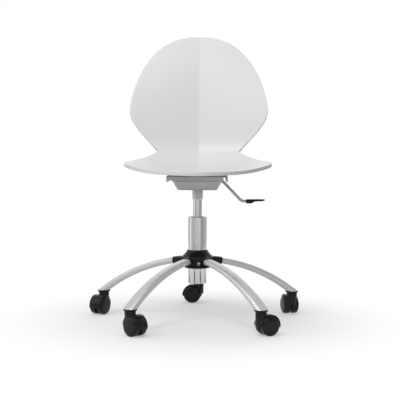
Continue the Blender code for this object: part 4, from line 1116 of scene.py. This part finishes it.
def buildCaps():
    low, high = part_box("leg_plug_back")
    outer, spigot, bore, chamfer = radiusOf("leg_plug_back"), cap["spigot"], cap["bore"], cap["chamfer"]
    top = low.z + cap["flange"]
    rings = [(spigot, high.z), (spigot, top), (outer, top), (outer, low.z + chamfer),
             (outer - chamfer, low.z), (bore, low.z), (bore, high.z), (spigot, high.z)]
    model = turnPiece("cap_model", rings)
    roundEdges(model, cap["edge"], angle=25)
    smoothShade(model)
    copyOut(model, "gloss_black", [(f"leg_cap_{name}", standAt(f"leg_plug_{name}"), "base",
                                    f"leg_plug_{name}") for name in legNames])


buildCaps()
print("leg caps done")


# casters: the body is modelled with its stem at the origin and its wheels trailing along +X

caster = {
    "hoodRadius": 0.0291,
    "hoodHalfWidth": 0.0168,
    "hoodWall": 0.0021,
    "hoodStart": math.radians(-10.0),
    "hoodEnd": math.radians(178.0),
    "hoodSteps": 44,
    "neckRadii": (0.0140, 0.0148),       # at the hood and at the top
    "neckBottom": 0.0275,
    "webHalfWidth": 0.0024,
    "webDrop": 0.007,                    # below the axle
    "roomGap": 0.0027,
    "stemBore": 0.0043,
    "axleBore": 0.0033,
    "edge": 0.0005,
}
axlePlace = middleOf("caster_back_axle") - middleOf("caster_back_stem")
axlePlace = Vector((axlePlace.to_2d().length, 0, middleOf("caster_back_axle").z))


def casterMatrix(name):
    out = middleOf(f"caster_{name}_axle") - middleOf(f"caster_{name}_stem")
    return standAt(f"caster_{name}_stem") @ Matrix.Rotation(math.atan2(out.y, out.x), 4, "Z")


def onAxle(lean):                        # turns a piece from upright onto the axle
    return Matrix.Translation(axlePlace) @ Matrix.Rotation(lean, 4, "X")


def sweepHood(name, inner, outer):
    freeHands()
    middle = axlePlace + Vector(((inner + outer) / 2, 0, 0))
    bpy.ops.mesh.primitive_plane_add(size=1, location=middle)
    bpy.ops.transform.resize(value=(outer - inner, 2 * caster["hoodHalfWidth"], 1))
    piece = nameIt(name)
    tilt(-caster["hoodStart"], "Y", axlePlace)
    bpy.ops.mesh.spin(steps=caster["hoodSteps"], angle=caster["hoodEnd"] - caster["hoodStart"],
                      center=axlePlace, axis=(0, 1, 0))
    closeUp()
    return piece


def buildCasterBodies():
    outer = caster["hoodRadius"]
    inner = outer - caster["hoodWall"]
    model = sweepHood("caster_model", inner, outer)
    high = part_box("caster_back_body")[1].z
    lowRadius, highRadius = caster["neckRadii"]
    neck = turnPiece("neck", [(highRadius, high), (lowRadius, caster["neckBottom"])])
    combine(model, neck, "UNION")
    half, webRadius = caster["webHalfWidth"], (inner + outer) / 2
    web = turnPiece("web", [(webRadius, -half), (webRadius, half)], wideSides)
    web.data.transform(onAxle(math.pi / 2))
    openUp(web)
    cut((0, 0, axlePlace.z - caster["webDrop"]), (0, 0, 1), clear_inner=True, use_fill=True)
    closeUp()
    combine(model, web, "UNION")
    for side in (-1, 1):
        room = turnPiece("room", [(inner - clearance, caster["roomGap"]), (inner - clearance, drillReach)],
                         wideSides)
        room.data.transform(onAxle(side * math.pi / 2))
        combine(model, room, "DIFFERENCE")
    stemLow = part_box("caster_back_stem")[0].z
    drill(model, caster["stemBore"], stemLow - clearance, high + drillPast, (0, 0, 0))
    drill(model, caster["axleBore"], -drillReach, drillReach, axlePlace, "Y")
    roundEdges(model, caster["edge"], angle=40)
    smoothShade(model, angle=35)
    print("caster body:", len(model.data.polygons), "faces")
    copyOut(model, "gloss_black", [(f"caster_hood_{name}", casterMatrix(name), f"swivel_{name}",
                                    f"caster_{name}_body") for name in legNames])


wheel = {
    "inner": 0.0032,                     # its two faces, from the caster's middle
    "outer": 0.0224,
    "innerEdge": 0.0024,
    "face": 0.0160,                      # radius of the cap in the outer face
    "shoulder": 0.0068,                  # depth of the round from the cap to the tread
    "roundSteps": 10,
    "groove": 0.0003,
    "dome": 0.0007,
    "bore": 0.0033,
    "boreEnd": 0.0025,                   # wall left over the axle's end
}


def buildWheels():
    radius = axlePlace.z                 # the tread just touches the floor
    inner, outer, edge, groove = wheel["inner"], wheel["outer"], wheel["innerEdge"], wheel["groove"]
    face, faceEdge, shoulder = wheel["face"], outer - wheel["dome"], outer - wheel["shoulder"]
    quarter = spread(0, math.pi / 2, wheel["roundSteps"])
    rings = [(wheel["bore"], outer - wheel["boreEnd"]), (wheel["bore"], inner)]
    for angle in quarter:
        rings.append((radius - edge * (1 - math.sin(angle)), inner + edge * (1 - math.cos(angle))))
    for angle in quarter:
        rings.append((blend(face, radius, math.cos(angle)), blend(shoulder, faceEdge, math.sin(angle))))
    rings += [(face - groove, faceEdge - groove), (face - 2 * groove, faceEdge - groove)]
    disc = face - 3 * groove
    for angle in quarter[:-1]:
        rings.append((disc * math.cos(angle), blend(outer, faceEdge, math.cos(angle) ** 2)))
    model = turnPiece("wheel_model", rings, wideSides)
    smoothShade(model, angle=25)
    sides = {"a": onAxle(math.pi / 2), "b": onAxle(-math.pi / 2)}
    copyOut(model, "gloss_black", [(f"caster_roller_{name}_{side}", casterMatrix(name) @ sides[side],
                                    f"wheel_{name}_{side}", f"caster_{name}_wheel_{side}")
                                   for name in legNames for side in sides])


buildCasterBodies()
buildWheels()
print("casters done")


# inner pieces that keep their solids

keptNodes = {
    "valve_button": "bright_steel",
    "piston_rod": "bright_steel",
    "retaining_clip": "bright_steel",
    "thrust_bearing": "bright_steel",
    "rubber_buffer": "rubber",
}
for name in legNames:
    keptNodes[f"caster_{name}_stem"] = "bright_steel"
    keptNodes[f"caster_{name}_axle"] = "bright_steel"
for name, slot in keptNodes.items():
    node = frame["nodes"][name]
    node.data.materials.clear()
    node.data.materials.append(finishes[slot])
print("inner pieces kept:", len(keptNodes))


# camera, floor and light

view = {
    "lens": 86.85,           # on a 36 mm frame
    "clipStart": 0.05,
    "distance": 2.63,        # from the column
    "height": 0.487,
    "azimuth": math.radians(1.0),
    "pitch": math.radians(3.46),
    "yaw": math.radians(0.1425),
    "roll": math.radians(0.24),
}


def addCamera():
    camera = bpy.data.objects.new("camera", bpy.data.cameras.new("camera"))
    bpy.context.collection.objects.link(camera)
    camera.data.lens = view["lens"]
    camera.data.clip_start = view["clipStart"]
    turn, distance = view["azimuth"], view["distance"]
    away = Vector((distance * math.sin(turn), -distance * math.cos(turn), view["height"]))
    camera.location = columnAxis + away
    camera.rotation_euler = (math.pi / 2 - view["pitch"], 0, turn - view["yaw"])
    rolled = camera.rotation_euler.to_matrix() @ Matrix.Rotation(view["roll"], 3, "Z")
    camera.rotation_euler = rolled.to_euler()
    bpy.context.scene.camera = camera


studio = {
    "floorColour": 0.90,
    "floorBounce": 0.46,     # the same paper, for the light that it throws back
    "floorHalfSize": 1.6,
    "floorFront": -0.60,     # where the paper ends, just outside the picture
    "whiteFrom": 0.21,       # distance from the column where the floor starts to fade to white
    "whiteTo": 0.58,
    "nearWhite": 0.31,       # share of plain white under the chair
    "ambient": 0.31,
    "lean": (-0.29, -0.21, 0.34),        # the room is brighter to the left, in front and above
    "darkest": 0.05,
    "below": 0.35,
    "belowBlend": -0.15,                 # downward part of a direction where the level below is full
    "sheen": 0.66,                       # level of the room in reflections
    # panels seen in reflections: azimuth from the camera side, half width, level added
    "panels": ((-94, 16, 0.50), (-8, 14, 0.18), (27, 13, 0.24), (62, 26, -0.18), (180, 24, 0.34)),
    "panelEdge": 8.0,
    "lowRoom": (-8.5, -5.8, 0.42),       # towards the floor in front the room gets darker: from, to, share
    # lamps: place, size, power, and whether they shine in reflections
    "lamps": {
        "key_light": ((-2.4, -1.6, 2.6), 3.0, 19.0, True),
        "top_light": ((-0.3, -0.9, 1.75), 0.5, 6.0, True),
        "front_light": ((-0.35, -2.5, 1.55), 0.45, 2.0, True),
        "back_light": ((0.5, 2.4, 1.7), 2.0, 18.0, False),
    },
    "aimHeight": 0.45,
}


def rayKinds(tree):          # rays from the camera, and those with the mirror and glass rays
    path = addNode(tree, "ShaderNodeLightPath").outputs
    seen = calc(tree, "MAXIMUM", path["Is Camera Ray"], path["Is Glossy Ray"])
    return path["Is Camera Ray"], calc(tree, "MAXIMUM", seen, path["Is Transmission Ray"])


def addFloor():
    freeHands()
    half = studio["floorHalfSize"]
    bpy.ops.mesh.primitive_plane_add(size=2 * half, location=(0, studio["floorFront"] + half, 0))
    floor = nameIt("floor")
    bpy.ops.object.mode_set(mode="OBJECT")
    material = bpy.data.materials.new("paper_floor")
    material.use_nodes = True
    tree = material.node_tree
    tree.nodes.clear()
    coords = addNode(tree, "ShaderNodeTexCoord").outputs["Object"]
    offset = addNode(tree, "ShaderNodeVectorMath", {0: coords, 1: tuple(columnAxis)}, operation="SUBTRACT")
    away = addNode(tree, "ShaderNodeVectorMath", {0: offset.outputs["Vector"]}, operation="LENGTH")
    fade = remap(tree, away.outputs["Value"], studio["whiteFrom"], studio["whiteTo"],
                 studio["nearWhite"], 1.0)
    fade.node.interpolation_type = "SMOOTHSTEP"
    seen = rayKinds(tree)[1]
    level = remap(tree, seen, 0.0, 1.0, studio["floorBounce"], studio["floorColour"])
    grey = addNode(tree, "ShaderNodeCombineColor", {"Red": level, "Green": level, "Blue": level})
    paper = addNode(tree, "ShaderNodeBsdfDiffuse", {"Color": grey.outputs["Color"]})
    white = addNode(tree, "ShaderNodeEmission", {"Color": (1, 1, 1, 1), "Strength": 1.0})
    mixed = addNode(tree, "ShaderNodeMixShader", {0: calc(tree, "MULTIPLY", fade, seen),
                                                  1: paper.outputs["BSDF"], 2: white.outputs["Emission"]})
    addNode(tree, "ShaderNodeOutputMaterial", {"Surface": mixed.outputs["Shader"]})
    floor.data.materials.append(material)


def blendLevels(tree, share, first, second):
    made = addNode(tree, "ShaderNodeMix", {"Factor": share, "A": first, "B": second}, data_type="FLOAT")
    return made.outputs["Result"]


def panelShare(tree, angle, middle, halfWidth, level):   # full inside a panel, none outside
    off = calc(tree, "SUBTRACT", angle, math.radians(middle))
    off = calc(tree, "WRAP", off, math.pi)
    off.node.inputs[2].default_value = -math.pi
    away = calc(tree, "ABSOLUTE", off)
    inside, outside = halfWidth - studio["panelEdge"], halfWidth + studio["panelEdge"]
    return remap(tree, away, math.radians(inside), math.radians(outside), level, 0.0)


def reflectedRoom(tree, parts):          # white behind the chair, soft panels round the rest
    turned = calc(tree, "ARCTAN2", parts["X"], calc(tree, "MULTIPLY", parts["Y"], -1.0))
    level = studio["sheen"]
    for azimuth, halfWidth, added in studio["panels"]:
        level = calc(tree, "ADD", level, panelShare(tree, turned, azimuth, halfWidth, added))
    low, high, share = studio["lowRoom"]
    raised = calc(tree, "ARCSINE", parts["Z"])
    dimming = remap(tree, raised, math.radians(low), math.radians(high), share, 1.0)
    return calc(tree, "MULTIPLY", level, dimming)


def addWorld():
    world = bpy.data.worlds.new("studio")
    bpy.context.scene.world = world
    world.use_nodes = True
    tree = world.node_tree
    tree.nodes.clear()
    direction = addNode(tree, "ShaderNodeTexCoord").outputs["Generated"]
    lit = addNode(tree, "ShaderNodeVectorMath", {0: direction, 1: studio["lean"]}, operation="DOT_PRODUCT")
    lit = calc(tree, "ADD", lit.outputs["Value"], studio["ambient"])
    lit = calc(tree, "MAXIMUM", lit, studio["darkest"])
    parts = addNode(tree, "ShaderNodeSeparateXYZ", {"Vector": direction}).outputs
    lit = blendLevels(tree, remap(tree, parts["Z"], 0.0, studio["belowBlend"]), lit, studio["below"])
    camera, seen = rayKinds(tree)
    shown = blendLevels(tree, camera, reflectedRoom(tree, parts), 1.0)
    back = addNode(tree, "ShaderNodeBackground", {"Color": (1, 1, 1, 1),
                                                  "Strength": blendLevels(tree, seen, lit, shown)})
    addNode(tree, "ShaderNodeOutputWorld", {"Surface": back.outputs["Background"]})


def addLamps():
    for name, (place, size, power, shines) in studio["lamps"].items():
        lamp = bpy.data.objects.new(name, bpy.data.lights.new(name, "AREA"))
        bpy.context.collection.objects.link(lamp)
        lamp.data.shape = "SQUARE"
        lamp.data.size = size
        lamp.data.energy = power
        lamp.location = place
        lamp.visible_camera = False
        lamp.visible_glossy = shines
        aim = columnAxis + Vector((0, 0, studio["aimHeight"])) - lamp.location
        lamp.rotation_euler = aim.to_track_quat("-Z", "Y").to_euler()


addCamera()
addFloor()
addWorld()
addLamps()
bpy.context.scene.view_settings.view_transform = "Standard"
print("camera, floor and light set")
